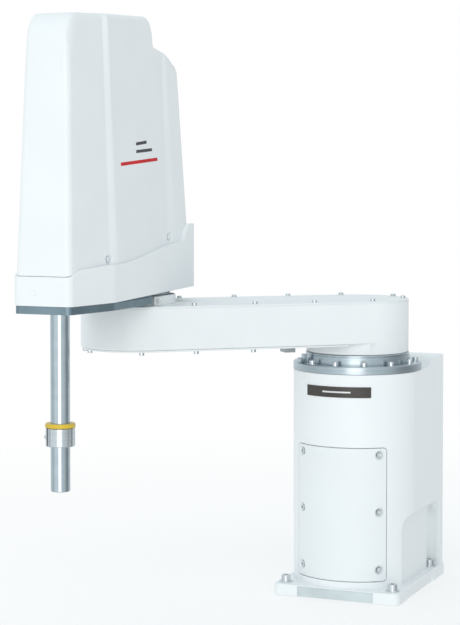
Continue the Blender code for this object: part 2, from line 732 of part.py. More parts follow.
def build_arm2_cover():
    outer_faces, outer_rim = cover_skin(0.0)
    inner_faces, inner_rim = cover_skin(COVER_WALL)
    bm = bmesh.new()
    for face in outer_faces + inner_faces:
        bm.faces.new([bm.verts.new(Vector(p) * MM) for p in face])
    for i, here in enumerate(outer_rim):
        face = (here, outer_rim[i - 1], inner_rim[i - 1], inner_rim[i])
        bm.faces.new([bm.verts.new(Vector(p) * MM) for p in face])
    bmesh.ops.remove_doubles(bm, verts=bm.verts, dist=0.000002)
    cover = object_from(bm)
    for x, z, side in cover_screw_places():
        seat = cover_half_width(x, z) - COVER_SCREW_SINK
        pocket = cylinder(4.4, 0.0, 12.0, 12)
        hole = cylinder(2.1, -8.0, 2.0, 8)
        cut(cover, aim_sideways(pocket, x, z, side, seat), aim_sideways(hole, x, z, side, seat))
    return cover


def cover_screw_places():
    """Two screws on each flank, at the foot of each rib."""
    return [(x, z, side) for x, z in COVER_SCREWS for side in (-1.0, 1.0)]


def aim_sideways(obj, x, z, side, reach):
    """Turn a piece made along +Z to point outward from a flank of arm 2."""
    return moved(obj, (x, side * reach, z), "X", -90.0 * side)


def build_arm2_frame():
    inside = skirt_outline(SKIRT_WALL + 0.6)
    plate = prism(inside, FRAME_PLATE_Z, FRAME_TOP)
    pad = prism(skirt_outline(1.4), FRAME_BOTTOM, skirt_bottom(SKIRT_NOSE_X) - 0.4)
    neck = prism(inside, FRAME_BOTTOM + 5.0, FRAME_PLATE_Z + 1.0)
    for piece in (pad, neck):
        cut(piece, box((-100.0, -70.0, FRAME_BOTTOM - 5.0), (PAD_REAR_X, 70.0, FRAME_TOP + 5.0)))
    # round pad over the second joint
    joint_pad = cylinder(46.0, FRAME_STEP, FRAME_PLATE_Z + 2.0, 28)
    fuse(plate, neck, pad, joint_pad)
    fuse(plate, cylinder(44.0, FRAME_TOP - 3.0, 452.0, 28))
    cut(plate, cylinder(12.0, FRAME_STEP - 5.0, 460.0, 16))
    cut(plate, cylinder(21.6, FRAME_BOTTOM - 5.0, FRAME_TOP + 5.0, 32, (ARM2_LENGTH, 0.0)))
    return plate


def build_z_bracket():
    """Upright behind the shaft, with a shelf for the screw nut and one for its motor."""
    wall = box((184.0, -40.0, FRAME_TOP + GAP), (192.0, 40.0, 556.0))
    fuse(wall, box((190.0, -34.0, 498.0), (252.0, 34.0, 506.0)))
    fuse(wall, box((114.0, -37.0, 550.0), (186.0, 37.0, 556.0)))
    cut(
        wall,
        box((180.0, -33.0, 458.0), (196.0, 33.0, 490.0)),
        box((180.0, -31.0, 526.0), (196.0, 31.0, 548.0)),
        cylinder(25.0, 490.0, 515.0, 24, (ARM2_LENGTH, 0.0)),
        cylinder(16.0, 540.0, 560.0, 16, (J3_MOTOR_X, 0.0)),
    )
    return wall


def build_j4_bracket():
    """Bridge that carries the rotation motor over its belt."""
    plate = box((38.0, -38.0, 486.0), (106.0, 38.0, 492.0))
    fuse(plate, box((40.0, -38.0, FRAME_TOP + GAP), (104.0, -34.0, 488.0)))
    fuse(plate, box((40.0, 34.0, FRAME_TOP + GAP), (104.0, 38.0, 488.0)))
    return cut(plate, cylinder(14.0, 480.0, 495.0, 16, (J4_MOTOR_X, 0.0)))


def belt(center_a, radius_a, center_b, radius_b, bottom, top):
    """A flat belt around two pulleys on the arm's centre line; center_a is the forward one."""
    span = center_a - center_b
    lean = math.degrees(math.asin((radius_a - radius_b) / span))

    def loop(extra):
        front = arc((center_a, 0.0), radius_a + extra, -90.0 - lean, 90.0 + lean, 14)
        back = arc((center_b, 0.0), radius_b + extra, 90.0 + lean, 270.0 - lean, 8)
        return front + back

    inner = loop(GAP)
    outer = loop(GAP + BELT_T)
    rings = []
    for outline, z in ((outer, bottom), (outer, top), (inner, top), (inner, bottom)):
        rings.append([(x, y, z) for x, y in outline])
    return loft(rings, close=True)


def pulley(radius, bore, bottom, top, steps, center=(0.0, 0.0)):
    rim = 1.6
    lip = 2.2
    profile = [(bore, bottom), (radius + lip, bottom), (radius + lip, bottom + rim), (radius, bottom + rim),
               (radius, top - rim), (radius + lip, top - rim), (radius + lip, top), (bore, top)]
    return turned(profile, steps, center)


def build_arm2(axis, materials):
    alu, dark = materials["aluminium"], materials["dark_metal"]
    steel = materials["machined_steel"]
    shaft_center = (ARM2_LENGTH, 0.0)
    name_piece(build_arm2_frame(), "arm2_frame", materials["dark_aluminium"], axis)
    name_piece(build_arm2_skirt(), "arm2_skirt", materials["cover_paint"], axis)
    name_piece(build_arm2_cover(), "arm2_cover", materials["cover_paint"], axis)
    flange = ring(44.0, 12.0, J2_BOSS_TOP + GAP, FRAME_STEP - GAP, 28)
    name_piece(flange, "j2_output_flange", steel, axis)
    name_piece(moved(build_servo(76.0, 110.0, 8.0), (0.0, 0.0, 452.0 + GAP)), "j2_motor", dark, axis)
    name_piece(build_z_bracket(), "z_bracket", alu, axis)
    name_piece(build_j4_bracket(), "j4_bracket", alu, axis)
    motor = moved(build_servo(60.0, 105.0, 7.0), (J3_MOTOR_X, 0.0, 556.0 + GAP))
    name_piece(motor, "j3_motor", dark, axis)
    motor = moved(build_servo(56.0, 74.0, 6.0), (J4_MOTOR_X, 0.0, 492.0 + GAP))
    name_piece(motor, "j4_motor", dark, axis)
    housing = ring(33.0, 21.8, FRAME_TOP + GAP, 462.0, 24, shaft_center)
    name_piece(housing, "spline_bearing_housing", steel, axis)
    housing = ring(24.7, 20.8, 492.0, 522.0, 24, shaft_center)
    name_piece(housing, "screw_bearing_housing", steel, axis)
    rubber = materials["rubber"]
    piece = belt(ARM2_LENGTH, SPLINE_PULLEY_R, J4_MOTOR_X, SPLINE_MOTOR_PULLEY_R, 468.5, 478.0)
    name_piece(piece, "j4_belt", rubber, axis)
    piece = belt(ARM2_LENGTH, SCREW_PULLEY_R, J3_MOTOR_X, SCREW_MOTOR_PULLEY_R, 531.0, 543.0)
    name_piece(piece, "j3_belt", rubber, axis)
    for number, (x, z, side) in enumerate(cover_screw_places(), 1):
        reach = cover_half_width(x, z) - COVER_SCREW_SINK + GAP
        screw = aim_sideways(socket_screw(3.5, 2.4, 1.6, 7.0, steps=10), x, z, side, reach)
        name_piece(screw, f"cover_screw_{number}", materials["screw_steel"], axis)
    plug = moved(cylinder(3.0, 0.0, 1.0, 12), (SKIRT_NOSE_X + GAP, -11.0, 446.0), "Y", 90.0)
    name_piece(plug, "nose_plug", materials["cover_paint"], axis)


# ------------------------------------------------- shaft and turning parts

def build_spline_rotor(axis, materials):
    profile = [(12.9, 424.0), (21.0, 424.0), (21.0, 464.0), (26.0, 464.0), (26.0, 466.2), (12.9, 466.2)]
    name_piece(turned(profile, 28), "spline_nut", materials["machined_steel"], axis)
    piece = pulley(SPLINE_PULLEY_R, 12.9, 466.5, 480.0, 24)
    name_piece(piece, "j4_shaft_pulley", materials["aluminium"], axis)


def build_shaft(axis, materials):
    edge = 1.0
    profile = [(SHAFT_BORE_R, SHAFT_BOTTOM), (SHAFT_R - edge, SHAFT_BOTTOM), (SHAFT_R, SHAFT_BOTTOM + edge),
               (SHAFT_R, SHAFT_TOP - edge), (SHAFT_R - edge, SHAFT_TOP), (SHAFT_BORE_R, SHAFT_TOP)]
    name_piece(turned(profile, 32), "z_shaft", materials["chrome"], axis)
    clamp = ring(18.8, SHAFT_R + GAP, 249.0, 271.2, 28)
    cut(clamp, box((10.0, -1.2, 240.0), (25.0, 1.2, 280.0)))
    moved(clamp, degrees=COLLAR_TURN)
    name_piece(clamp, "lower_stop_collar", materials["machined_steel"], axis)
    name_piece(ring(19.6, SHAFT_R + GAP, 271.5, 278.2, 28), "stop_bumper", materials["yellow"], axis)
    collar = ring(20.0, SHAFT_R + GAP, 641.0, 652.0, 24)
    name_piece(collar, "upper_stop_collar", materials["machined_steel"], axis)


def build_screw_rotor(axis, materials):
    profile = [(12.9, 486.0), (20.4, 486.0), (20.4, 526.0), (12.9, 526.0)]
    name_piece(turned(profile, 24), "screw_nut", materials["machined_steel"], axis)
    piece = pulley(SCREW_PULLEY_R, 12.9, 526.3, 545.0, 24)
    name_piece(piece, "j3_nut_pulley", materials["aluminium"], axis)


def build_motor_pulleys(arm2, materials):
    axis = make_empty("j3_motor_axis", (J3_MOTOR_X, 0.0, 0.0), 0.0, arm2)
    piece = pulley(SCREW_MOTOR_PULLEY_R, 0.0, 526.3, 545.0, 16)
    fuse(piece, cylinder(7.0, 544.0, 555.7, 12))
    name_piece(piece, "j3_motor_pulley", materials["aluminium"], axis)
    axis = make_empty("j4_motor_axis", (J4_MOTOR_X, 0.0, 0.0), 0.0, arm2)
    piece = pulley(SPLINE_MOTOR_PULLEY_R, 0.0, 466.5, 480.0, 16)
    fuse(piece, cylinder(6.0, 479.0, 491.7, 12))
    name_piece(piece, "j4_motor_pulley", materials["aluminium"], axis)


def make_materials():
    return {
        "casting_paint": make_material("casting_paint", (0.84, 0.86, 0.87), 0.45),
        "cover_paint": make_material("cover_paint", (0.86, 0.88, 0.89), 0.4),
        "label": make_material("label", (0.07, 0.055, 0.05), 0.5),
        "machined_steel": make_material("machined_steel", (0.62, 0.63, 0.64), 0.25, 1.0),
        "chrome": make_material("chrome", (0.75, 0.76, 0.78), 0.12, 1.0),
        "screw_steel": make_material("screw_steel", (0.5, 0.51, 0.52), 0.3, 1.0),
        "aluminium": make_material("aluminium", (0.7, 0.71, 0.72), 0.35, 1.0),
        "dark_aluminium": make_material("dark_aluminium", (0.4, 0.42, 0.45), 0.45, 1.0),
        "dark_metal": make_material("dark_metal", (0.05, 0.05, 0.055), 0.5, 0.6),
        "dark_plastic": make_material("dark_plastic", (0.06, 0.06, 0.065), 0.6),
        "brass": make_material("brass", (0.7, 0.52, 0.25), 0.3, 1.0),
        "rubber": make_material("rubber", (0.03, 0.03, 0.03), 0.8),
        "yellow": make_material("yellow", (0.72, 0.5, 0.1), 0.45),
    }


def main():
    clear_scene()
    materials = make_materials()
    build_base(materials)
    j1 = make_empty("j1_axis", (0.0, 0.0, 0.0), ARM1_HEADING)
    build_arm1(j1, materials)
    j2 = make_empty("j2_axis", (ARM1_LENGTH, 0.0, 0.0), ARM2_HEADING - ARM1_HEADING, j1)
    build_arm2(j2, materials)
    shaft_axis = make_empty("shaft_axis", (ARM2_LENGTH, 0.0, 0.0), 0.0, j2)
    build_spline_rotor(shaft_axis, materials)
    build_screw_rotor(shaft_axis, materials)
    build_shaft(shaft_axis, materials)
    build_motor_pulleys(j2, materials)


main()
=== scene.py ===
import json
import math

import bmesh
import bpy
from mathutils import Matrix, Vector


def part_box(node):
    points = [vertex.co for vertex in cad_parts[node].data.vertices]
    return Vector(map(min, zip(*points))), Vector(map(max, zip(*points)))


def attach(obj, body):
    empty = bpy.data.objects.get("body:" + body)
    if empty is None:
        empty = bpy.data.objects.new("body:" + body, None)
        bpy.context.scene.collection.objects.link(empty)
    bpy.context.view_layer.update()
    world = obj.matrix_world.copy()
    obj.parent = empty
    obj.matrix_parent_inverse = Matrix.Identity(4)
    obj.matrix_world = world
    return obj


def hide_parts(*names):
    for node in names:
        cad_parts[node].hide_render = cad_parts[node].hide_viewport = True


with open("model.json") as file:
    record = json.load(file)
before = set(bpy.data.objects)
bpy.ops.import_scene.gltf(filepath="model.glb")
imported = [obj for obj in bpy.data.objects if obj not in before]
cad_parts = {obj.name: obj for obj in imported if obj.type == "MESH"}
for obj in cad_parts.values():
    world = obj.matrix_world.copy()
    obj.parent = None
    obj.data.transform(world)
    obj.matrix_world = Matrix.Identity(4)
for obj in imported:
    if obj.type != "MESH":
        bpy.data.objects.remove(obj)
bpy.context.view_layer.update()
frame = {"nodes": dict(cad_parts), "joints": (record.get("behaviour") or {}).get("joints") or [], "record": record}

# Sizes below are in millimetres and degrees, in the part's own frame: origin on the first
# joint's axis at the underside of the base, +Z up. The mesh helpers turn them into metres.
MM = 0.001

JOINTS = {joint["name"]: joint for joint in frame["joints"]}
NODE_SLOTS = {row["node"]: row["material_slot"] for row in frame["record"]["subparts"]}
ELBOW = Vector(JOINTS["j2_turn"]["pos_m"]) / MM
WRIST = Vector(JOINTS["j4_turn"]["pos_m"]) / MM


def node_z(node):
    """Lowest and highest z of a CAD node."""
    low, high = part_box(node)
    return low.z / MM, high.z / MM


# arm frames: +X runs from one joint to the next
REACH = WRIST - ELBOW
ARM1_LENGTH = ELBOW.length
ARM2_LENGTH = REACH.length
ARM1_END = (ARM1_LENGTH, 0.0)
ARM1_FRAME = Matrix.Rotation(math.atan2(ELBOW.y, ELBOW.x), 4, "Z")
ARM2_FRAME = Matrix.Translation(ELBOW * MM) @ Matrix.Rotation(math.atan2(REACH.y, REACH.x), 4, "Z")
SHAFT_FRAME = ARM2_FRAME @ Matrix.Translation(Vector((ARM2_LENGTH, 0.0, 0.0)) * MM)
BODY_FRAMES = {"arm1": ARM1_FRAME, "arm2": ARM2_FRAME, "shaft": SHAFT_FRAME}

# socket screws: head radius, head height and hexagon, then radius and thickness of a washer
MOUNTING_BOLT = (6.5, 8.0, 6.0, 9.6, 1.9)
FLANGE_SCREW = (4.25, 5.6, 4.0)
CAP_SCREW = (3.5, 4.0, 3.0)
PANEL_SCREW = (3.6, 3.6, 3.0)
LID_SCREW = (3.5, 2.8, 3.0, 4.6, 0.6)
LOW_SCREW = (3.5, 2.2, 2.5)
COVER_SCREW = (3.6, 2.4, 2.2)
SMALL_SCREW = (2.8, 2.4, 2.2)

# base
COLUMN_R = 91.0
FLANK_X = 90.0
REAR_Y = 134.6
BASE_WALL = 9.0
BASE_FLOOR = 15.0
PLATE_HALF_X = 92.5
PLATE_FRONT_Y = -95.5
PLATE_REAR_Y = 135.4
PLATE_CORNER_R = 9.0
PLATE_T = 16.6
COLUMN_TOP = 315.0
REAR_TOP = 327.0
RECESS_X = 80.0
RECESS_Y = (-42.0, 116.0)
RECESS_TOP = 106.0
RECESS_SLOPE = 15.0
RECESS_R = 14.0
NICHE_R = 18.0
NICHE_DOME_Z = 92.0
BOLT_X = 79.0
BOLT_YS = (-78.0, 99.0)
BOLT_PLACES = [(x, y) for x in (-BOLT_X, BOLT_X) for y in BOLT_YS]
BOLT_HOLE_R = 4.5
PANEL_HALF_ANGLE = 46.0
PANEL_Z = (26.0, 213.6)
PANEL_T = 4.0
PANEL_SCREW_ANGLE = 39.0
PANEL_SCREW_ZS = (42.0, 123.0, 203.0)
LABEL_HALF_ANGLE = 31.0
FLANGE_R = 91.5
FLANGE_BORE_R = 60.4
FLANGE_SCREW_R = 82.6
FLANGE_SCREW_START = -149.2
FLANGE_SCREW_PITCH = 28.2
RIM_R = 73.8
REAR_PANEL_HALF_X = 60.0
REAR_PANEL_Z = (52.0, 238.0)
REAR_PANEL_T = 3.0
CONNECTOR_Z = 200.0
POWER_X = -28.0
SIGNAL_X = 24.0
AIR_XS = (-30.0, 0.0, 30.0)
AIR_Z = 110.0

# arm 1
ARM1_R1 = 73.0
ARM1_R2 = 77.0
ARM1_BOTTOM = 356.6
ARM1_WALL = 7.0
ARM1_FLOOR = 366.0
ARM1_BOTTOM_R = 2.2
LID_R = 1.4
LID_SCREW_INSET = 8.0
BOSS_R = 72.96
J2_BOSS_R = 54.0
J2_BORE_R = 46.0
ELBOW_STOP_ANGLE = 106.0
FLOOR_SCREW_R = 71.0
STOP_TAB_DROP = 3.6

# arm 2
SKIRT_NOSE_X = 274.0
SKIRT_REAR_X = -87.0
SKIRT_WALL = 3.5
SKIRT_LIP = 9.0
SKIRT_EDGE_R = 0.5
SKIRT_TOP = 467.0
# rises of the skirt's upper edge: where each starts and ends, and by how much it goes up
SKIRT_RISES = ((276.0, 246.0, 9.0), (252.0, 182.0, 3.0), (175.0, -60.0, 22.0), (-42.0, -66.0, 23.0))
CREASE_X = 182.0
COVER_NOSE_X = 271.5
COVER_REAR_X = -74.0
COVER_FOOT_Z = 470.0
COVER_NOSE_LEAN = 0.042
COVER_FLANK_LEAN = 0.033
COVER_TOP_NOSE = 797.0
COVER_EDGE_R = 9.0
COVER_NOSE_TURN = (72.0, 84.0)
COVER_NOSE_CORNER = (26.0, 41.0)
COVER_WALL = 3.0
COVER_STEP_X = 46.0
COVER_STEP_TURN_Z = 774.0
COVER_STEP_TURN_X = 15.0
COVER_STEP_HOLLOW = 16.0
COVER_FALL_X = -36.0
PARTING = 0.04
RIB1_X = 174.0
RIB2_X = -4.0
RIB_FOOT_Z = 510.0
COVER_SCREWS = ((184.5, 485.5), (-9.0, 507.5))
SCOOP_R = 9.0
# printed bars on the flanks: x at both ends, lower edge at both ends, height; and their two faces
STRIPE = (24.0, 148.0, 612.0, 605.0, 4.4)
PLAIN_BARS = ((42.0, 96.0, 625.0, 622.0, 4.0), (60.0, 96.0, 635.0, 632.0, 4.0))
PRINT_LIFT = (0.02, 0.14)
FRAME_PLATE_Z = (436.0, 440.0)
FRAME_PAD_END_X = 62.0
FRAME_HUB_R = 46.0
FRAME_HUB_BOTTOM = 431.3
SPLINE_BORE_R = 21.6

# shaft
SHAFT_R = 12.5
SHAFT_BORE_R = 9.0
COLLAR_R = 18.8
COLLAR_TURN = -34.0
COLLAR_SCREW_X = 15.6
COLLAR_SHIFT = 1.6
BUMPER_R = 19.4

# studio: places in metres, and how much light comes from above, and from the left rather than the right
CAMERA_AT = (0.8554, -2.5119, 0.6067)
CAMERA_TILT = 2.25
CAMERA_TURN = 22.75
KEY_LIGHT_AT = (0.78, -3.07, 0.6)
KEY_LIGHT_AIM = (-0.1, -0.2, 0.45)
SKY = 0.34
LEAN = 0.19


# ---- materials

def new_material(name, color, roughness, metallic=0.0):
    material = bpy.data.materials.new("look_" + name)
    material.use_nodes = True
    shader = material.node_tree.nodes["Principled BSDF"]
    shader.inputs["Base Color"].default_value = (*color, 1.0)
    shader.inputs["Roughness"].default_value = roughness
    shader.inputs["Metallic"].default_value = metallic
    return material, material.node_tree, shader


def add_node(tree, kind, inputs=None, **settings):
    """A node with its properties set, and its inputs set or linked by name or number."""
    node = tree.nodes.new(kind)
    for key, value in settings.items():
        setattr(node, key, value)
    for key, value in (inputs or {}).items():
        if isinstance(value, bpy.types.NodeSocket):
            tree.links.new(value, node.inputs[key])
        else:
            node.inputs[key].default_value = value
    return node


def object_coordinates(tree):
    return add_node(tree, "ShaderNodeTexCoord").outputs["Object"]


def vector_math(tree, operation, *values):
    node = add_node(tree, "ShaderNodeVectorMath", dict(enumerate(values)), operation=operation)
    return node.outputs["Value" if operation in ("LENGTH", "DOT_PRODUCT") else "Vector"]


def turned_coordinates(tree, center):
    """Coordinates that are constant round a vertical axis: distance from it, and height."""
    shift = vector_math(tree, "SUBTRACT", object_coordinates(tree), center)
    reach = vector_math(tree, "LENGTH", vector_math(tree, "MULTIPLY", shift, (1.0, 1.0, 0.0)))
    height = add_node(tree, "ShaderNodeSeparateXYZ", {0: shift}).outputs["Z"]
    return add_node(tree, "ShaderNodeCombineXYZ", {"X": reach, "Z": height}).outputs[0]


def noise(tree, coordinates, scale, detail=2.0):
    inputs = {"Vector": coordinates, "Scale": scale, "Detail": detail}
    return add_node(tree, "ShaderNodeTexNoise", inputs).outputs["Fac"]


def spread(tree, value, low, high, start=0.3, end=0.7):
    """Map a noise value from its usual range to low..high."""
    inputs = {"Value": value, "From Min": start, "From Max": end, "To Min": low, "To Max": high}
    return add_node(tree, "ShaderNodeMapRange", inputs).outputs["Result"]


def blend_colors(tree, factor, first, second):
    """Mix two colours, each an output or a plain (red, green, blue)."""
    first, second = ((*c, 1.0) if isinstance(c, tuple) else c for c in (first, second))
    return add_node(tree, "ShaderNodeMix", {0: factor, 6: first, 7: second}, data_type="RGBA").outputs[2]


def shade(color, factor):
    return tuple(channel * factor for channel in color)


def tones(tree, value, color, dark, light):
    """A colour that a noise value takes from a darker to a lighter tone."""
    return blend_colors(tree, spread(tree, value, 0.0, 1.0), shade(color, dark), shade(color, light))


def finish_look(tree, shader, color, rough, *bumps):
    """Link colour and roughness, and chain bumps of (height, strength, distance in metres)."""
    tree.links.new(color, shader.inputs["Base Color"])
    tree.links.new(rough, shader.inputs["Roughness"])
    normal = {}
    for height, strength, distance in bumps:
        inputs = {"Height": height, "Strength": strength, "Distance": distance, **normal}
        normal = {"Normal": add_node(tree, "ShaderNodeBump", inputs).outputs["Normal"]}
    tree.links.new(normal["Normal"], shader.inputs["Normal"])


def paint(name, color, roughness, grain, depth, edge_wear_and_highlight):
    """Sprayed paint or a moulded cover: mottling, orange peel, painted shade in hollows, and edges painted paler
    as both wear and highlight.
    """
    material, tree, shader = new_material(name, color, roughness)
    place = object_coordinates(tree)
    mixed = tones(tree, noise(tree, place, 14.0, 4.0), color, 0.975, 1.0)
    bend = add_node(tree, "ShaderNodeNewGeometry").outputs["Pointiness"]
    # painted shade: hollows and creases, found by pointiness, are darkened toward 0.86 of the colour
    hollow = spread(tree, bend, 1.0, 0.0, 0.42, 0.49)
    mixed = blend_colors(tree, hollow, mixed, shade(color, 0.86))
    # painted highlight and wear: sharp edges, found by pointiness, are made up to 6% paler
    edge = spread(tree, bend, 0.0, edge_wear_and_highlight, 0.53, 0.62)
    mixed = blend_colors(tree, edge, mixed, shade(color, 1.06))
    rough = spread(tree, noise(tree, place, 55.0, 3.0), roughness - 0.05, roughness + 0.07)
    peel, wave = noise(tree, place, grain), noise(tree, place, 38.0, 1.0)
    finish_look(tree, shader, mixed, rough, (wave, 0.1, 0.0004), (peel, 0.14, depth))
    return material


def turned_metal(name, color, roughness, center=(0.0, 0.0, 0.0), fineness=900.0, depth=0.00006):
    """Metal cut on a lathe: fine rings about a vertical axis, with a few broader ones."""
    material, tree, shader = new_material(name, color, roughness, 1.0)
    rings = turned_coordinates(tree, center)
    fine = noise(tree, rings, fineness, 3.0)
    mixed = tones(tree, noise(tree, rings, fineness * 0.4), color, 0.92, 1.04)
    smudge = spread(tree, noise(tree, object_coordinates(tree), 30.0, 3.0), 0.0, 0.25)
    mixed = blend_colors(tree, smudge, mixed, shade(color, 0.8))
    rough = spread(tree, fine, roughness - 0.06, roughness + 0.1)
    finish_look(tree, shader, mixed, rough, (fine, 0.35, depth))
    return material


def ground_metal(name, color, roughness):
    """Hard chrome, ground and polished: even, with faint smudges."""
    material, tree, shader = new_material(name, color, roughness, 1.0)
    place = object_coordinates(tree)
    smudge = noise(tree, place, 60.0, 3.0)
    rough = spread(tree, smudge, roughness - 0.02, roughness + 0.05)
    mixed = tones(tree, smudge, color, 0.94, 1.04)
    finish_look(tree, shader, mixed, rough, (noise(tree, place, 2500.0), 0.2, 0.000002))
    return material


def grained_metal(name, color, roughness, stretch, fineness=320.0, depth=0.00005, metallic=1.0):
    """Milled or cast metal: grain drawn out along one axis by stretch."""
    material, tree, shader = new_material(name, color, roughness, metallic)
    place = object_coordinates(tree)
    drawn = add_node(tree, "ShaderNodeMapping", {"Vector": place, "Scale": stretch}).outputs[0]
    grain = noise(tree, drawn, fineness, 3.0)
    mixed = tones(tree, noise(tree, place, 26.0, 3.0), color, 0.88, 1.05)
    rough = spread(tree, grain, roughness - 0.07, roughness + 0.1)
    finish_look(tree, shader, mixed, rough, (grain, 0.3, depth))
    return material


def dull(name, color, roughness, grain, depth, gloss=0.5):
    """Rubber, resin or a printed film: slight change of tone and a fine surface grain."""
    material, tree, shader = new_material(name, color, roughness)
    shader.inputs["Specular IOR Level"].default_value = gloss
    place = object_coordinates(tree)
    mixed = tones(tree, noise(tree, place, 45.0, 4.0), color, 0.8, 1.12)
    fine = noise(tree, place, grain)
    rough = spread(tree, fine, roughness - 0.06, roughness + 0.08)
    finish_look(tree, shader, mixed, rough, (fine, 0.25, depth))
    return material


STEEL = (0.5, 0.565, 0.605)
EVEN = (1.0, 1.0, 1.0)
LOOKS = {
    # each paint ends with how strongly its edges are painted paler, as wear and as highlight
    "casting_paint": (paint, (0.80, 0.832, 0.845), 0.42, 620.0, 0.00012, 0.5),
    "panel_paint": (paint, (0.775, 0.81, 0.825), 0.36, 700.0, 0.00008, 0.4),
    "cover_plastic": (paint, (0.805, 0.838, 0.855), 0.38, 900.0, 0.00006, 0.3),
    "label": (dull, (0.052, 0.045, 0.04), 0.42, 900.0, 0.00003),
    "machined_steel": (turned_metal, STEEL, 0.27),
    "chrome": (ground_metal, (0.52, 0.585, 0.625), 0.1),
    "screw_steel": (grained_metal, (0.7, 0.735, 0.755), 0.18, EVEN, 700.0, 0.00003),
    "aluminium": (grained_metal, (0.6, 0.62, 0.63), 0.36, (1.0, 1.0, 14.0)),
    "dark_aluminium": (grained_metal, (0.25, 0.33, 0.375), 0.45, (1.0, 1.0, 6.0), 500.0, 0.00008),
    "dark_metal": (grained_metal, (0.045, 0.045, 0.05), 0.45, EVEN, 600.0, 0.00006, 0.5),
    "dark_plastic": (dull, (0.36, 0.4, 0.42), 0.45, 700.0, 0.00008),
    "brass": (grained_metal, (0.7, 0.52, 0.25), 0.28, (1.0, 8.0, 1.0), 500.0, 0.00003),
    "rubber": (dull, (0.028, 0.028, 0.03), 0.75, 500.0, 0.0001),
    "yellow_resin": (dull, (0.66, 0.46, 0.035), 0.3, 400.0, 0.00006),
    "shaft_steel": (turned_metal, (0.62, 0.66, 0.69), 0.22, WRIST * MM, 1300.0, 0.00004),
    "elbow_steel": (turned_metal, STEEL, 0.27, ELBOW * MM),
    # bare machined face, its grey darkened as painted shade on the plate's cut-back front
    "bare_edge": (grained_metal, (0.6, 0.675, 0.69), 0.5, (6.0, 1.0, 1.0), 500.0, 0.00004, 0.0),
    "pale_screw": (grained_metal, (0.84, 0.88, 0.9), 0.3, EVEN, 700.0, 0.00003, 0.3),
    "red_print": (dull, (0.6, 0.004, 0.01), 0.4, 900.0, 0.00002, 0.15),
    "grey_print": (dull, (0.06, 0.06, 0.066), 0.45, 900.0, 0.00002, 0.2),
    "pale_print": (dull, (0.72, 0.74, 0.75), 0.45, 900.0, 0.00002),
}
MATERIALS = {name: make(name, *values) for name, (make, *values) in LOOKS.items()}


# ---- mesh helpers

def object_from(bm):
    bmesh.ops.recalc_face_normals(bm, faces=bm.faces)
    mesh = bpy.data.meshes.new("piece")
    bm.to_mesh(mesh)
    bm.free()
    obj = bpy.data.objects.new("piece", mesh)
    bpy.context.collection.objects.link(obj)
    return obj


def loft(rings, close=False):
    """A skin through rings with equal point counts: capped, or closed from the last ring to the first."""
    bm = bmesh.new()
    rows = [[bm.verts.new(Vector(p) * MM) for p in ring] for ring in rings]
    pairs = list(zip(rows, rows[1:]))
    if close:
        pairs.append((rows[-1], rows[0]))
    else:
        bm.faces.new(rows[0])
        bm.faces.new(rows[-1])
    for low, high in pairs:
        count = len(low)
        for i in range(count):
            j = (i + 1) % count
            bm.faces.new((low[i], low[j], high[j], high[i]))
    return object_from(bm)


def at_height(outline, z):
    return [(x, y, z) for x, y in outline]


def prism(outline, bottom, top):
    return loft([at_height(outline, bottom), at_height(outline, top)])


def box(low, high):
    outline = [(low[0], low[1]), (high[0], low[1]), (high[0], high[1]), (low[0], high[1])]
    return prism(outline, low[2], high[2])


def turned(profile, steps=96, center=(0.0, 0.0)):
    """A closed (radius, z) profile turned about a vertical axis. Radius zero lies on the axis."""
    bm = bmesh.new()
    rings = []
    for radius, z in profile:
        if radius == 0.0:
            rings.append([bm.verts.new(Vector((*center, z)) * MM)] * steps)
        else:
            ring = at_height(arc(center, radius, 0.0, 360.0, steps)[:-1], z)
            rings.append([bm.verts.new(Vector(p) * MM) for p in ring])
    for k, low in enumerate(rings):
        high = rings[(k + 1) % len(rings)]
        for i in range(steps):
            j = (i + 1) % steps
            corners = list(dict.fromkeys((low[i], low[j], high[j], high[i])))
            if len(corners) > 2:
                bm.faces.new(corners)
    return object_from(bm)


def cylinder(radius, bottom, top, steps=48, center=(0.0, 0.0)):
    return turned([(0.0, bottom), (radius, bottom), (radius, top), (0.0, top)], steps, center)


def ball(radius):
    return turned([(0.0, -radius)] + arc((0.0, 0.0), radius, -90.0, 90.0, 24)[1:-1] + [(0.0, radius)], 48)


def combine(obj, other, operation):
    """Apply a Boolean at once, and delete the second object."""
    modifier = obj.modifiers.new("combine", "BOOLEAN")
    modifier.operation = operation
    modifier.object = other
    bpy.context.view_layer.update()
    graph = bpy.context.evaluated_depsgraph_get()
    mesh = bpy.data.meshes.new_from_object(obj.evaluated_get(graph))
    obj.modifiers.clear()
    obj.data = mesh
    bpy.data.objects.remove(other, do_unlink=True)
    return obj


def cut(obj, *tools):
    for tool in tools:
        combine(obj, tool, "DIFFERENCE")
    return obj


def fuse(obj, *others):
    for other in others:
        combine(obj, other, "UNION")
    return obj


def join(objects):
    """Separate solids in one piece, such as the screws of one pattern."""
    bm = bmesh.new()
    for obj in objects:
        bm.from_mesh(obj.data)
        bpy.data.objects.remove(obj, do_unlink=True)
    return object_from(bm)


def moved(obj, location=(0.0, 0.0, 0.0), axis="Z", degrees=0.0):
    turn = Matrix.Rotation(math.radians(degrees), 4, axis)
    obj.data.transform(Matrix.Translation(Vector(location) * MM) @ turn)
    return obj


def polar(radius, degrees, center=(0.0, 0.0)):
    angle = math.radians(degrees)
    return center[0] + radius * math.cos(angle), center[1] + radius * math.sin(angle)


def arc(center, radius, start, end, steps):
    return [polar(radius, start + (end - start) * i / steps, center) for i in range(steps + 1)]


def rounding(radius, angles=(0.0, 30.0, 60.0, 90.0)):
    """(inset, drop) of points round an edge, from the end of its side to the start of its top."""
    turns = [math.radians(angle) for angle in angles]
    return [(radius * (1.0 - math.cos(a)), radius * (1.0 - math.sin(a))) for a in turns]


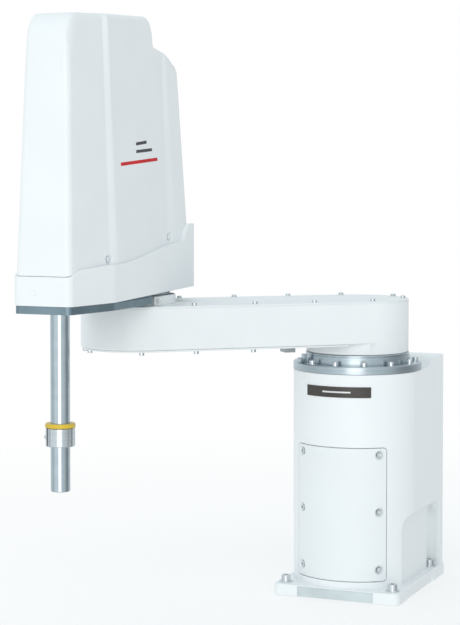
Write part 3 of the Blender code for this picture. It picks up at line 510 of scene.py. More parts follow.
def rounded_rectangle(x0, x1, y0, y1, radius, steps=8):
    corners = (
        ((x1 - radius, y1 - radius), 0.0),
        ((x0 + radius, y1 - radius), 90.0),
        ((x0 + radius, y0 + radius), 180.0),
        ((x1 - radius, y0 + radius), 270.0),
    )
    outline = []
    for center, start in corners:
        outline += arc(center, radius, start, start + 90.0, steps)
    return outline


def smooth_step(low, high, value):
    t = min(max((value - low) / (high - low), 0.0), 1.0)
    return t * t * (3.0 - 2.0 * t)


def bevel(obj, width, segments=2, angle=35.0):
    """Round the sharp edges."""
    modifier = obj.modifiers.new("edges", "BEVEL")
    modifier.width = width * MM
    modifier.segments = segments
    modifier.limit_method = "ANGLE"
    modifier.angle_limit = math.radians(angle)
    modifier.use_clamp_overlap = True
    modifier.harden_normals = True
    return obj


def piece(obj, name, body, slot, *nodes, look=None):
    """Name a finished piece, move it from its body's frame, give it its finish, and hang it on its body."""
    obj.name = name
    obj.data.name = name
    if body in BODY_FRAMES:
        obj.data.transform(BODY_FRAMES[body])
    obj.data.materials.clear()
    obj.data.materials.append(MATERIALS[look or slot])
    obj.data.shade_smooth()
    obj.data.set_sharp_from_angle(angle=math.radians(32.0))
    weighted = obj.modifiers.new("normals", "WEIGHTED_NORMAL")
    weighted.keep_sharp = True
    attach(obj, body)
    if nodes:
        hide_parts(*nodes)
    return obj


def hexagon_ring(across, z, steps):
    """Points on a hexagon, spaced like those on a circle."""
    ring = []
    for i in range(steps):
        angle = 360.0 * i / steps
        reach = 0.5 * across / math.cos(math.radians((angle % 60.0) - 30.0))
        ring.append((*polar(reach, angle), z))
    return ring


def circle_ring(radius, z, steps):
    return at_height(arc((0.0, 0.0), radius, 0.0, 360.0, steps)[:-1], z)


def socket_screw(head_r, head_h, across, washer_r=0.0, washer_t=0.0, steps=36):
    """Head of a hex socket screw along +Z, standing on z = 0, over a plain washer if it has one."""
    top = washer_t + head_h
    edge = 0.12 * head_r
    rings = []
    if washer_t > 0.0:
        rings += [circle_ring(washer_r, 0.0, steps), circle_ring(washer_r, washer_t - 0.3, steps)]
        rings += [circle_ring(washer_r - 0.4, washer_t, steps), circle_ring(head_r, washer_t, steps)]
    else:
        rings.append(circle_ring(head_r, 0.0, steps))
    rings += [circle_ring(head_r, top - edge, steps), circle_ring(head_r - edge, top, steps)]
    rings += [hexagon_ring(across * 1.06, top, steps), hexagon_ring(across, top - 0.4, steps)]
    rings.append(hexagon_ring(across, top - head_h * 0.55, steps))
    return loft(rings)


# ---- base

def column_outline(radius=COLUMN_R, half=FLANK_X, rear=REAR_Y):
    """Front half round, flat flanks, square rear with small corners."""
    tangent = math.degrees(math.acos(half / radius))
    front = arc((0.0, 0.0), radius, tangent - 180.0, -tangent, 84)
    corner = 6.0
    right = arc((half - corner, rear - corner), corner, 0.0, 90.0, 8)
    left = arc((corner - half, rear - corner), corner, 90.0, 180.0, 8)
    return front + right + left


def wrapped(outline, inner, outer):
    """A flat outline (arc length, height) given a thickness and wrapped round the column's front."""
    bm = bmesh.new()
    rows = [[bm.verts.new((u, v, depth)) for u, v in outline] for depth in (inner, outer)]
    bm.faces.new(rows[0])
    bm.faces.new(rows[1])
    for i in range(len(outline)):
        j = (i + 1) % len(outline)
        bm.faces.new((rows[0][i], rows[0][j], rows[1][j], rows[1][i]))
    low, high = min(u for u, _ in outline), max(u for u, _ in outline)
    slices = int((high - low) / 2.6)
    for k in range(1, slices):
        at = (low + (high - low) * k / slices, 0.0, 0.0)
        everything = bm.verts[:] + bm.edges[:] + bm.faces[:]
        bmesh.ops.bisect_plane(bm, geom=everything, plane_co=at, plane_no=(1.0, 0.0, 0.0), dist=0.0001)
    for vertex in bm.verts:
        u, v, depth = vertex.co
        angle = u / COLUMN_R - math.pi / 2.0
        reach = COLUMN_R + depth
        vertex.co = Vector((reach * math.cos(angle), reach * math.sin(angle), v)) * MM
    return object_from(bm)


def on_column(obj, angle, z, sink):
    """Point a piece made along +Z outward from the column's wall."""
    turn = Matrix.Rotation(math.radians(angle), 4, "Z")
    lift = Matrix.Translation(Vector((COLUMN_R - sink, 0.0, z)) * MM)
    obj.data.transform(turn @ lift @ Matrix.Rotation(math.radians(90.0), 4, "Y"))
    return obj


def panel_screw_places():
    return [(-90.0 + side * PANEL_SCREW_ANGLE, z) for side in (-1.0, 1.0) for z in PANEL_SCREW_ZS]


def panel_outline(grow):
    half = math.radians(PANEL_HALF_ANGLE) * COLUMN_R - 0.9 + grow
    return rounded_rectangle(-half, half, PANEL_Z[0] + 0.9 - grow, PANEL_Z[1] - 0.9 + grow, 5.0 + grow)


def rear_rise():
    """The block behind the flange is hollowed round the first joint: its face curves outward going up."""
    foot = COLUMN_TOP - 0.05
    profile = [(0.0, foot - 20.0), (94.0, foot - 20.0), (94.0, foot)]
    for i in range(17):
        share = i / 16
        profile.append((99.0 + 22.0 * share, foot + 12.1 * smooth_step(0.0, 1.0, share)))
    profile += [(121.0, REAR_TOP + 5.0), (0.0, REAR_TOP + 5.0)]
    return turned(profile, 160)


def side_recess(side):
    """A shallow pocket in a flank, with a sloping top, and a domed niche round the rear bolt."""
    rings = []
    for depth, rise in ((0.0, 0.0), (FLANK_X - RECESS_X + 5.0, RECESS_SLOPE)):
        x = side * (RECESS_X + depth)
        top = RECESS_TOP + rise
        low, high = RECESS_Y[0] - rise, RECESS_Y[1]
        ring = [(x, low, PLATE_T), (x, high, PLATE_T), (x, high, top)]
        ring += [(x, y, z) for y, z in arc((low + RECESS_R, top - RECESS_R), RECESS_R, 90.0, 180.0, 12)]
        rings.append(ring)
    profile = [(0.0, PLATE_T), (NICHE_R, PLATE_T)]
    profile += arc((0.0, NICHE_DOME_Z), NICHE_R, 0.0, 90.0, 10)[:-1]
    profile.append((0.0, NICHE_DOME_Z + NICHE_R))
    return loft(rings), turned(profile, 64, (side * BOLT_X, BOLT_YS[1]))


def base_plate():
    """Mounting plate with rounded corner lobes; its edges are cut back between them."""
    rings = []
    for z, shrink in ((0.0, 0.8), (0.8, 0.0), (PLATE_T - 2.2, 0.0), (PLATE_T - 0.7, 0.6), (PLATE_T, 2.2)):
        half = PLATE_HALF_X - shrink
        front, rear = PLATE_FRONT_Y + shrink, PLATE_REAR_Y - shrink
        outline = rounded_rectangle(-half, half, front, rear, PLATE_CORNER_R - shrink)
        rings.append(at_height(outline, z))
    plate = loft(rings)
    rings = []
    for z, depth in ((-1.0, 4.0), (PLATE_T - 1.6, 2.2)):
        outline = rounded_rectangle(-56.0, 56.0, PLATE_FRONT_Y - 8.0, PLATE_FRONT_Y + depth, 1.5)
        rings.append(at_height(outline, z))
    cut(plate, loft(rings))
    for side in (-1.0, 1.0):
        x0, x1 = sorted((side * (PLATE_HALF_X - 2.0), side * (PLATE_HALF_X + 9.0)))
        cut(plate, prism(rounded_rectangle(x0, x1, -52.0, 72.0, 1.0), -1.0, PLATE_T - 4.0))
    return plate


def front_strip():
    """The machined edge of the plate between its two front lobes: bare metal, its grey also darkened as painted
    shade under the plate's top edge and lobes.
    """
    rings = []
    for z, depth in ((0.4, 3.0), (PLATE_T - 2.0, 1.2)):
        near = PLATE_FRONT_Y + depth
        rings.append(at_height(rounded_rectangle(-55.4, 55.4, near, near + 3.4, 0.6), z))
    return loft(rings)


def base_shell():
    body = prism(column_outline(), 6.0, COLUMN_TOP)
    block = prism(column_outline(COLUMN_R - 0.02, FLANK_X - 0.02, REAR_Y - 0.02), COLUMN_TOP - 6.0, REAR_TOP)
    cut(block, rear_rise())
    fuse(body, block, base_plate())
    inside = column_outline(COLUMN_R - BASE_WALL, RECESS_X - 5.0, REAR_Y - BASE_WALL)
    hollow = prism(inside, BASE_FLOOR, COLUMN_TOP - 12.0)
    for side in (-1.0, 1.0):
        cut(hollow, cylinder(NICHE_R + 5.0, 0.0, 120.0, 32, (side * BOLT_X, BOLT_YS[1])))
    cut(body, hollow, cylinder(62.0, COLUMN_TOP - 20.0, COLUMN_TOP + 5.0, 96))
    cut(body, wrapped(panel_outline(1.2), -PANEL_T - 0.5, 12.0))
    half = math.radians(PANEL_HALF_ANGLE - 10.0) * COLUMN_R
    cut(body, wrapped(rounded_rectangle(-half, half, PANEL_Z[0] + 12.0, PANEL_Z[1] - 12.0, 6.0), -14.0, 0.0))
    for side in (-1.0, 1.0):
        cut(body, *side_recess(side))
    cut(body, box((-52.0, REAR_Y - 14.0, 60.0), (52.0, REAR_Y + 5.0, 230.0)))
    cut(body, prism_y(rear_panel_outline(0.0), REAR_Y - REAR_PANEL_T - 0.3, REAR_Y + 5.0))
    for place in BOLT_PLACES:
        cut(body, cylinder(BOLT_HOLE_R, -1.0, PLATE_T + 1.0, 32, place))
    return bevel(body, 0.9, 3, 40.0)


def rear_panel_outline(shrink):
    half = REAR_PANEL_HALF_X - shrink
    return rounded_rectangle(-half, half, REAR_PANEL_Z[0] + shrink, REAR_PANEL_Z[1] - shrink, 4.0 - shrink)


def prism_y(outline, front, rear):
    """An (x, z) outline given a depth along Y."""
    return loft([[(x, y, z) for x, z in outline] for y in (front, rear)])


def access_panel():
    panel = wrapped(panel_outline(0.0), -PANEL_T, 0.0)
    for angle, z in panel_screw_places():
        pocket = cylinder(4.4, -2.0, 6.0, 40)
        cut(panel, on_column(ball(SCOOP_R), angle, z, -5.3), on_column(pocket, angle, z, PANEL_T))
    return bevel(panel, 0.7, 2, 40.0)


def build_base():
    piece(base_shell(), "base_shell", "base", "casting_paint", "base_casting")
    # this strip's grey is bare metal and also painted shade under the plate's top edge
    piece(front_strip(), "plate_front_strip", "base", "casting_paint", look="bare_edge")
    piece(access_panel(), "access_panel", "base", "panel_paint", "base_front_panel")
    for number, (angle, z) in enumerate(panel_screw_places(), 1):
        screw = on_column(socket_screw(*PANEL_SCREW), angle, z, PANEL_T - 0.2)
        piece(screw, f"panel_cap_screw_{number}", "base", "screw_steel", f"panel_screw_{number}")
    low, high = node_z("name_plate")
    half = math.radians(LABEL_HALF_ANGLE) * COLUMN_R
    label = wrapped(rounded_rectangle(-half, half, low, high, 0.6, 3), 0.05, 0.7)
    piece(bevel(label, 0.15, 2), "label_film", "base", "label", "name_plate")
    bar = wrapped(rounded_rectangle(-0.42 * half, 0.42 * half, low + 6.4, high - 6.4, 0.6, 3), 0.6, 0.86)
    piece(bar, "label_bar", "base", "label", look="pale_print")
    build_first_joint()
    for number, place in enumerate(BOLT_PLACES, 1):
        bolt = moved(socket_screw(*MOUNTING_BOLT, steps=48), (*place, PLATE_T + 0.05), "Z", 17.0 * number)
        piece(bolt, f"mounting_bolt_{number}", "base", "screw_steel", f"base_bolt_{number}")
    build_rear()


def build_first_joint():
    """Steel flange with twelve screws and a wider gap at the rear, the gear's rim, and the stop block."""
    low, high = node_z("j1_flange")
    profile = [(FLANGE_BORE_R, low), (FLANGE_R - 0.6, low), (FLANGE_R, low + 0.6), (FLANGE_R, high - 0.9)]
    profile += [(FLANGE_R - 0.9, high), (RIM_R + 0.8, high)]
    profile += [(RIM_R + 0.8, high - 1.2), (FLANGE_BORE_R, high - 1.2)]
    piece(turned(profile, 192), "joint_flange", "base", "machined_steel", "j1_flange")
    rim_low, rim_high = node_z("j1_reducer")
    profile = [(14.0, rim_low), (60.0, rim_low), (60.0, high - 0.9)]
    profile += [(RIM_R - 0.8, high - 0.9), (RIM_R, high - 0.1)]
    for inset, drop in ((0.0, 3.4), (0.6, 3.1), (0.6, 2.5), (0.0, 2.2), (0.0, 0.7), (0.7, 0.0)):
        profile.append((RIM_R - inset, rim_high - drop))
    profile.append((14.0, rim_high))
    piece(turned(profile, 192), "reducer_rim", "base", "machined_steel", "j1_reducer")
    screws = []
    for k in range(12):
        place = (*polar(FLANGE_SCREW_R, FLANGE_SCREW_START + FLANGE_SCREW_PITCH * k), high - 0.02)
        screws.append(moved(socket_screw(*FLANGE_SCREW), place, "Z", 40.0 * k))
    piece(join(screws), "flange_screws", "base", "screw_steel")
    low, high = node_z("j1_stop_block")
    block = box((79.0, -4.5, low), (90.0, 4.5, high))
    cut(block, box((84.5, -5.5, low + 6.0), (91.0, 5.5, high + 1.0)))
    moved(block, degrees=math.degrees(math.atan2(ELBOW.y, ELBOW.x)) + 3.0)
    piece(bevel(block, 0.5), "stop_block", "base", "machined_steel", "j1_stop_block")


def rear_place(obj, x, z, lift=0.3):
    """Point a piece made along +Z outward from the rear wall."""
    return moved(obj, (x, REAR_Y + lift, z), "X", -90.0)


def power_connector():
    """A round socket with a ribbed ring and four pins."""
    profile = [(0.0, 0.0), (15.0, 0.0), (15.0, 4.4), (14.4, 5.0), (13.0, 5.0), (13.0, 12.0), (15.5, 12.0)]
    profile += [(16.0, 12.5), (16.0, 23.4), (15.4, 24.0), (13.6, 24.0), (13.0, 23.4)]
    profile += [(13.0, 14.0), (0.0, 14.0)]
    socket = turned(profile, 96)
    for k in range(24):
        cut(socket, moved(cylinder(0.9, 13.5, 22.5, 10, (16.3, 0.0)), degrees=15.0 * k))
    for k in range(4):
        fuse(socket, cylinder(1.4, 13.0, 21.0, 16, polar(6.0, 90.0 * k)))
    return socket


def signal_connector():
    """A rectangular socket."""
    socket = prism(rounded_rectangle(-24.0, 24.0, -11.0, 11.0, 4.0), 0.0, 18.0)
    cut(socket, prism(rounded_rectangle(-20.0, 20.0, -8.0, 8.0, 3.0), 8.0, 20.0))
    return bevel(socket, 0.6)


def air_port():
    """A hexagon with a round push-in end."""
    steps = 48
    rings = [circle_ring(2.5, 0.0, steps)]
    rings += [hexagon_ring(across, z, steps) for across, z in ((12.0, 0.0), (12.0, 6.4), (10.8, 7.0))]
    collar = ((5.0, 7.0), (5.0, 14.4), (5.4, 15.0), (5.8, 15.4), (5.8, 17.6), (5.4, 18.0))
    for radius, z in (*collar, (2.9, 18.0), (2.5, 17.6)):
        rings.append(circle_ring(radius, z, steps))
    return loft(rings, close=True)


def build_rear():
    """Connector panel on the rear, with its screws, two connectors and three air fittings."""
    plate = prism_y(rear_panel_outline(0.4), REAR_Y - REAR_PANEL_T, REAR_Y)
    piece(bevel(plate, 0.4), "connector_panel", "base", "aluminium", "rear_panel")
    places = [(x, z) for x in (-53.5, 53.5) for z in (59.0, 145.0, 231.0)]
    screws = [rear_place(socket_screw(*LOW_SCREW), x, z, 0.0) for x, z in places]
    piece(join(screws), "connector_panel_screws", "base", "screw_steel")
    power = rear_place(power_connector(), POWER_X, CONNECTOR_Z)
    piece(power, "power_connector", "base", "dark_metal", "power_inlet")
    signal = rear_place(signal_connector(), SIGNAL_X, CONNECTOR_Z)
    piece(signal, "signal_connector", "base", "dark_metal", "signal_inlet")
    places = [(SIGNAL_X - 14.0 + 3.5 * k, CONNECTOR_Z + z) for z in (-3.0, 3.0) for k in range(9)]
    pins = [rear_place(cylinder(0.7, 8.0, 14.0, 12), x, z) for x, z in places]
    piece(join(pins), "signal_pins", "base", "brass")
    for number, x in enumerate(AIR_XS, 1):
        port = rear_place(air_port(), x, AIR_Z)
        piece(port, f"air_port_{number}", "base", "brass", f"air_fitting_{number}")


# ---- arm 1

def arm1_outline(shrink=0.0):
    """Outer tangents of two circles, in arm 1's frame."""
    lean = math.degrees(math.asin((ARM1_R2 - ARM1_R1) / ARM1_LENGTH))
    far = arc(ARM1_END, ARM1_R2 - shrink, -90.0 - lean, 90.0 + lean, 56)
    near = arc((0.0, 0.0), ARM1_R1 - shrink, 90.0 + lean, 270.0 - lean, 56)
    return far + near


def arm1_slab(levels):
    return loft([at_height(arm1_outline(shrink), z) for z, shrink in levels])


def arm1_shell():
    """The casting: an open trough with a round boss at each joint."""
    boss_low, boss_top = node_z("arm1_casting")
    lid_low, lid_top = node_z("arm1_top_cover")
    levels = [(ARM1_BOTTOM, ARM1_BOTTOM_R)]
    levels += [(ARM1_BOTTOM + rise, inset) for rise, inset in rounding(ARM1_BOTTOM_R, (25.0, 50.0, 75.0))]
    levels += [(ARM1_BOTTOM + ARM1_BOTTOM_R, 0.0), (lid_low - 0.2, 0.0), (lid_low - 0.1, 0.1)]
    body = arm1_slab(levels)
    boss = [(0.0, boss_low), (BOSS_R - 0.8, boss_low), (BOSS_R, boss_low + 0.8), (BOSS_R, ARM1_BOTTOM + 6.0),
            (0.0, ARM1_BOTTOM + 6.0)]
    fuse(body, turned(boss, 160))
    cut(body, prism(arm1_outline(ARM1_WALL), ARM1_FLOOR, lid_top))
    boss = [(J2_BORE_R, ARM1_FLOOR - 4.0), (J2_BOSS_R, ARM1_FLOOR - 4.0), (J2_BOSS_R, boss_top - 1.2),
            (J2_BOSS_R - 1.2, boss_top), (J2_BORE_R + 0.4, boss_top), (J2_BORE_R, boss_top - 0.4)]
    fuse(body, turned(boss, 128, ARM1_END))
    cut(body, cylinder(30.0, ARM1_BOTTOM - 5.0, ARM1_FLOOR + 5.0, 64, ARM1_END))
    return cut(body, cylinder(20.0, boss_low - 5.0, ARM1_FLOOR + 5.0, 64))


def build_arm1():
    piece(arm1_shell(), "arm1_shell", "arm1", "casting_paint", "arm1_casting")
    low, high = node_z("arm1_top_cover")
    levels = [(low, 0.1), (low + 0.1, 0.0)]
    levels += [(high - drop, inset) for inset, drop in rounding(LID_R)]
    lid = cut(arm1_slab(levels), cylinder(J2_BOSS_R + 0.4, low - 5.0, high + 5.0, 128, ARM1_END))
    piece(lid, "arm1_lid", "arm1", "panel_paint", "arm1_top_cover")
    places = lid_screw_places()
    screws = [moved(socket_screw(*LID_SCREW), (x, y, high - 0.02), "Z", 3.0 * x) for x, y in places]
    piece(join(screws), "arm1_lid_screws", "arm1", "screw_steel")

    # stop block of the second joint, beside its boss
    face = J2_BOSS_R + 4.4
    block = bevel(box((face - 3.4, -6.0, high - 0.02), (face, 6.0, high + 11.5)), 0.6)
    screw = moved(socket_screw(*SMALL_SCREW), (face - 0.02, 0.0, high + 6.2), "Y", 90.0)
    for obj in (block, screw):
        moved(obj, (*ARM1_END, 0.0), degrees=ELBOW_STOP_ANGLE)
    piece(block, "elbow_stop", "arm1", "casting_paint")
    piece(screw, "elbow_stop_screw", "arm1", "screw_steel")

    low, high = node_z("arm1_bottom_cover")
    levels = ((low, 2.7), (low + 0.7, 2.0), (high, 2.0))
    cover = cut(arm1_slab(levels), cylinder(82.0, low - 5.0, high + 5.0, 128))
    piece(cover, "arm1_floor_cover", "arm1", "panel_paint", "arm1_bottom_cover")
    places = floor_screw_places()
    screws = [moved(socket_screw(*CAP_SCREW), (*place, low + 0.02), "X", 180.0) for place in places]
    piece(join(screws), "arm1_floor_screws", "arm1", "screw_steel")

    low, high = node_z("arm1_stop_tab")
    low -= STOP_TAB_DROP
    tab = box((97.0, -11.0, low), (113.0, 11.0, high))
    cut(tab, box((95.0, -4.0, low - 1.0), (100.0, 4.0, high - 3.0)))
    piece(bevel(tab, 0.8), "arm1_damper", "arm1", "dark_plastic", "arm1_stop_tab")


def lid_screw_places():
    """Screws along both sides of the arm, and two round each end."""
    near, far = ARM1_R1 - LID_SCREW_INSET, ARM1_R2 - LID_SCREW_INSET
    places = []
    for k in range(4):
        for side, pitch in ((1.0, 86.5), (-1.0, 81.5)):
            x = 1.5 + pitch * k
            places.append((x, side * (near + (far - near) * x / ARM1_LENGTH)))
    places += [polar(near, angle) for angle in (163.0, 197.0)]
    return places + [polar(far, angle, ARM1_END) for angle in (-15.0, 15.0)]


def floor_screw_places():
    """Screws round the elbow end, and two on each side."""
    places = [polar(FLOOR_SCREW_R, angle, ARM1_END) for angle in (-81.7, -12.5, 12.5, 81.7)]
    return places + [(x, side * y) for x, y in ((177.5, 69.0), (259.0, 70.0)) for side in (-1.0, 1.0)]


# ---- arm 2

def skirt_half_width(x):
    if x > CREASE_X:
        return 57.0 - 17.0 * (x - CREASE_X) / (SKIRT_NOSE_X - CREASE_X)
    return 57.0 - 7.0 * (CREASE_X - x) / (CREASE_X - SKIRT_REAR_X)


def skirt_bottom(x):
    """The lower edge is level under the nose and rises a little to the rear."""
    return 430.0 + 5.5 * max(0.0, (CREASE_X - x) / (CREASE_X - SKIRT_REAR_X))


def skirt_top(x):
    """The parting line: low on the nose, then rising along the flanks to the rear."""
    return SKIRT_TOP + sum(rise * smooth_step(-start, -end, -x) for start, end, rise in SKIRT_RISES)


def cover_half_width(x, z):
    front = 50.5 - 12.0 * (x - RIB1_X) / (COVER_NOSE_X - RIB1_X)
    middle = 46.5 + 8.0 * (x - RIB2_X) / (RIB1_X - RIB2_X)
    rear = 49.5 + 2.5 * (x - RIB2_X) / (RIB2_X - COVER_REAR_X)
    # the two steps of the flank widen downward
    rise = z - RIB_FOOT_Z
    width = middle + (front - middle) * smooth_step(RIB1_X - 9.5 + 0.035 * rise, RIB1_X + 9.0, x)
    width = rear + (width - rear) * smooth_step(RIB2_X - 26.0 + 0.075 * rise, RIB2_X + 4.0, x)
    return width - COVER_FLANK_LEAN * (z - COVER_FOOT_Z)


def nose_line(z):
    """The nose leans back going up."""
    return COVER_NOSE_X - COVER_NOSE_LEAN * (z - COVER_FOOT_Z)


def cover_high(x):
    """Upper edge of the high front part, which rises a little to the rear."""
    return COVER_TOP_NOSE + 9.0 * (252.0 - x) / 206.0


def cover_shoulder(x):
    """Upper edge of the low rear part, which falls away to the rear."""
    return 767.0 - 0.0054 * (22.0 - x) ** 2


def evenly(start, end, pitch):
    count = max(1, round(abs(end - start) / pitch))
    return [start + (end - start) * i / count for i in range(count)]


def inside_nose(x, z):
    """Whether a point of the side view lies inside the silhouette of nose and top."""
    turn_x, turn_z = COVER_NOSE_CORNER
    center_z = cover_high(COVER_NOSE_X - turn_x) - turn_z
    center_x = nose_line(center_z) - turn_x
    if x > center_x and z > center_z:
        return ((x - center_x) / turn_x) ** 2 + ((z - center_z) / turn_z) ** 2 <= 1.0
    return x < nose_line(z) and z < cover_high(x)


def nose_reach(x, z, normal):
    """Distance along a normal from a point of the border to the silhouette of the nose."""
    near, far = COVER_EDGE_R, 60.0
    for _ in range(20):
        middle = (near + far) / 2.0
        if inside_nose(x + normal.x * middle, z + normal.y * middle):
            near = middle
        else:
            far = middle
    return near


def cover_edge():
    """The border of the cover's flanks in side view, from the nose over the top to the rear.

    Each item is (x, z, foot, reach): a point of the border, where the line below it meets the
    parting line, and how far the silhouette lies outside it. The border turns in a wider
    curve than the silhouette does.
    """
    foot = COVER_NOSE_X - COVER_EDGE_R
    turn_x, turn_z = COVER_NOSE_TURN
    nose_z = cover_high(195.0) - turn_z
    nose = nose_line(nose_z) - turn_x
    half_x, half_z = turn_x - COVER_EDGE_R, turn_z - COVER_EDGE_R
    edge = []
    for i in range(33):
        angle = math.radians(90.0 * i / 32)
        x = nose + half_x * math.cos(angle)
        z = nose_z + half_z * math.sin(angle)
        normal = Vector(((x - nose) / half_x ** 2, (z - nose_z) / half_z ** 2)).normalized()
        reach = nose_reach(x, z, normal)
        edge.append((x, z, foot + (nose - foot) * i / 32, reach))
    along = evenly(nose, 162.0, 1.0)[1:] + evenly(162.0, COVER_STEP_X, 4.0)
    edge += [(x, cover_high(x) - COVER_EDGE_R, x, COVER_EDGE_R) for x in along]
    # rounded step down to the shoulder, then a hollow curve
    step = []
    high = cover_high(COVER_STEP_X) - COVER_EDGE_R - COVER_STEP_TURN_Z
    for i in range(16):
        angle = math.radians(90.0 * i / 15)
        x = COVER_STEP_X - COVER_STEP_TURN_X * math.sin(angle)
        step.append((x, COVER_STEP_TURN_Z + high * math.cos(angle)))
    hollow_x = COVER_STEP_X - COVER_STEP_TURN_X - COVER_STEP_HOLLOW
    step += arc((hollow_x, COVER_STEP_TURN_Z), COVER_STEP_HOLLOW, -9.0, -81.0, 8)
    for i, (x, z) in enumerate(step):
        foot_x = COVER_STEP_X - (COVER_STEP_X - hollow_x) * i / len(step)
        edge.append((x, z, foot_x, COVER_EDGE_R))
    along = evenly(hollow_x, 1.0, 2.5) + evenly(1.0, COVER_FALL_X, 1.2)
    edge += [(x, cover_shoulder(x) - COVER_EDGE_R, x, COVER_EDGE_R) for x in along]
    run = COVER_REAR_X + COVER_EDGE_R - COVER_FALL_X
    for i in range(9):
        share = i / 8
        x = COVER_FALL_X - 10.6 * (1.0 - (1.0 - share) ** 1.8)
        z = cover_shoulder(COVER_FALL_X) - COVER_EDGE_R - 9.8 * share ** 1.5
        edge.append((x, z, COVER_FALL_X + run * share, COVER_EDGE_R))
    return edge


def skirt_outline(shrink=0.0):
    """Half outline from nose to rear on +Y, followed by its mirror image."""
    nose_x, rear_x = SKIRT_NOSE_X - shrink, SKIRT_REAR_X + shrink
    nose_r, rear_r = max(10.0 - shrink, 1.0), max(6.0 - shrink, 1.0)
    nose_y = skirt_half_width(nose_x - nose_r) - shrink - nose_r
    rear_y = skirt_half_width(rear_x + rear_r) - shrink - rear_r
    half = arc((nose_x - nose_r, nose_y), nose_r, 0.0, 90.0, 12)
    feet = [foot for _, _, foot, _ in cover_edge()] + evenly(-66.0, -76.0, 4.0)
    half += [(foot, skirt_half_width(foot) - shrink) for foot in feet]
    half += arc((rear_x + rear_r, rear_y), rear_r, 90.0, 180.0, 8)
    return half + [(x, -y) for x, y in reversed(half)]


def skirt_shell():
    """A wall with an inward rim at the top. Each ring is (shrink, at the top, drop from it)."""
    rings = []
    sections = [(0.9, False, 0.0), (0.25, False, -0.3), (0.0, False, -1.0)]
    sections += [(inset, True, drop) for inset, drop in rounding(SKIRT_EDGE_R)]
    sections += [(SKIRT_LIP, True, 0.0), (SKIRT_LIP, True, 3.0)]
    sections += [(SKIRT_WALL, True, 5.0), (SKIRT_WALL, False, 0.0)]
    outer = skirt_outline()
    for shrink, at_top, drop in sections:
        points = []
        for (x, y), (station, _) in zip(skirt_outline(shrink), outer):
            level = skirt_top(station) if at_top else skirt_bottom(station)
            points.append((x, y, level - drop))
        rings.append(points)
    skirt = loft(rings, close=True)
    half = skirt_half_width(-80.0) - 2.0
    top = skirt_top(SKIRT_REAR_X)
    return fuse(skirt, box((SKIRT_REAR_X + 2.0, -half, top - 4.0), (-66.0, half, top - 0.05)))


def quads(grid):
    faces = []
    for low, high in zip(grid, grid[1:]):
        for i in range(len(low) - 1):
            faces.append((low[i], low[i + 1], high[i + 1], high[i]))
    return faces


def cover_skin(wall):
    """One skin of the cover as (faces, rim): quads of points, and the loop along its open lower edge.

    Each flank is a fan of columns. A rounded border joins the flanks over nose, top and rear.
    """
    rows, steps = 26, 8
    edge = cover_edge()
    columns = []
    for x, z, foot, _ in edge:
        low = skirt_top(foot) + PARTING
        columns.append([(foot + (x - foot) * k / rows, low + (z - low) * k / rows) for k in range(rows + 1)])
    border = columns[0] + [column[-1] for column in columns[1:-1]] + columns[-1][::-1]
    straight = [COVER_EDGE_R] * rows
    reaches = straight + [reach for _, _, _, reach in edge] + straight
    strip = []
    for i, (x, z) in enumerate(border):
        before, after = border[max(i - 1, 0)], border[min(i + 1, len(border) - 1)]
        along = Vector((after[0] - before[0], after[1] - before[1])).normalized()
        half = []
        for k in range(steps + 1):
            angle = math.radians(90.0 * k / steps)
            out = (reaches[i] - wall) * math.sin(angle)
            y = cover_half_width(x, z) - wall - (COVER_EDGE_R - wall) * (1.0 - math.cos(angle))
            if i == 0:
                half.append((x + out, y, skirt_top(x + out) + PARTING))
            else:
                half.append((x + along.y * out, y, z - along.x * out))
        strip.append(half + [(x, -y, z) for x, y, z in reversed(half)])
    faces = quads(strip)
    for side in (-1.0, 1.0):
        flank = [[(x, side * (cover_half_width(x, z) - wall), z) for x, z in column] for column in columns]
        faces += quads(flank)
    feet = [(column[0][0], cover_half_width(*column[0]) - wall, column[0][1]) for column in columns]
    rim = feet + strip[-1][1:-1] + [(x, -y, z) for x, y, z in reversed(feet)] + strip[0][-2:0:-1]
    return faces, rim


def cover_shell():
    outer_faces, outer_rim = cover_skin(0.0)
    inner_faces, inner_rim = cover_skin(COVER_WALL)
    bm = bmesh.new()
    for face in outer_faces + inner_faces:
        bm.faces.new([bm.verts.new(Vector(p) * MM) for p in face])
    for i, here in enumerate(outer_rim):
        face = (here, outer_rim[i - 1], inner_rim[i - 1], inner_rim[i])
        bm.faces.new([bm.verts.new(Vector(p) * MM) for p in face])
    bmesh.ops.remove_doubles(bm, verts=bm.verts, dist=0.000002)
    cover = object_from(bm)
    for x, z, side in cover_screw_places():
        seat = cover_half_width(x, z)
        cut(cover, aim_sideways(ball(SCOOP_R), x, z, side, seat + 5.8))
        cut(cover, aim_sideways(cylinder(3.9, -1.6, 9.0, 40), x, z, side, seat))
    return cover


def cover_screw_places():
    return [(x, z, side) for x, z in COVER_SCREWS for side in (-1.0, 1.0)]


def aim_sideways(obj, x, z, side, reach):
    """Turn a piece made along +Z to point outward from a flank of arm 2."""
    return moved(obj, (x, side * reach, z), "X", -90.0 * side)


def flank_patch(x0, x1, z0, z1, height, side):
    """A thin printed bar that follows the cover's flank from (x0, z0) to (x1, z1)."""
    inner, outer = PRINT_LIFT
    rings = []
    for i in range(25):
        x = x0 + (x1 - x0) * i / 24
        low = z0 + (z1 - z0) * i / 24
        corners = ((low, inner), (low + height, inner), (low + height, outer), (low, outer))
        rings.append([(x, side * (cover_half_width(x, z) + out), z) for z, out in corners])
    return loft(rings)


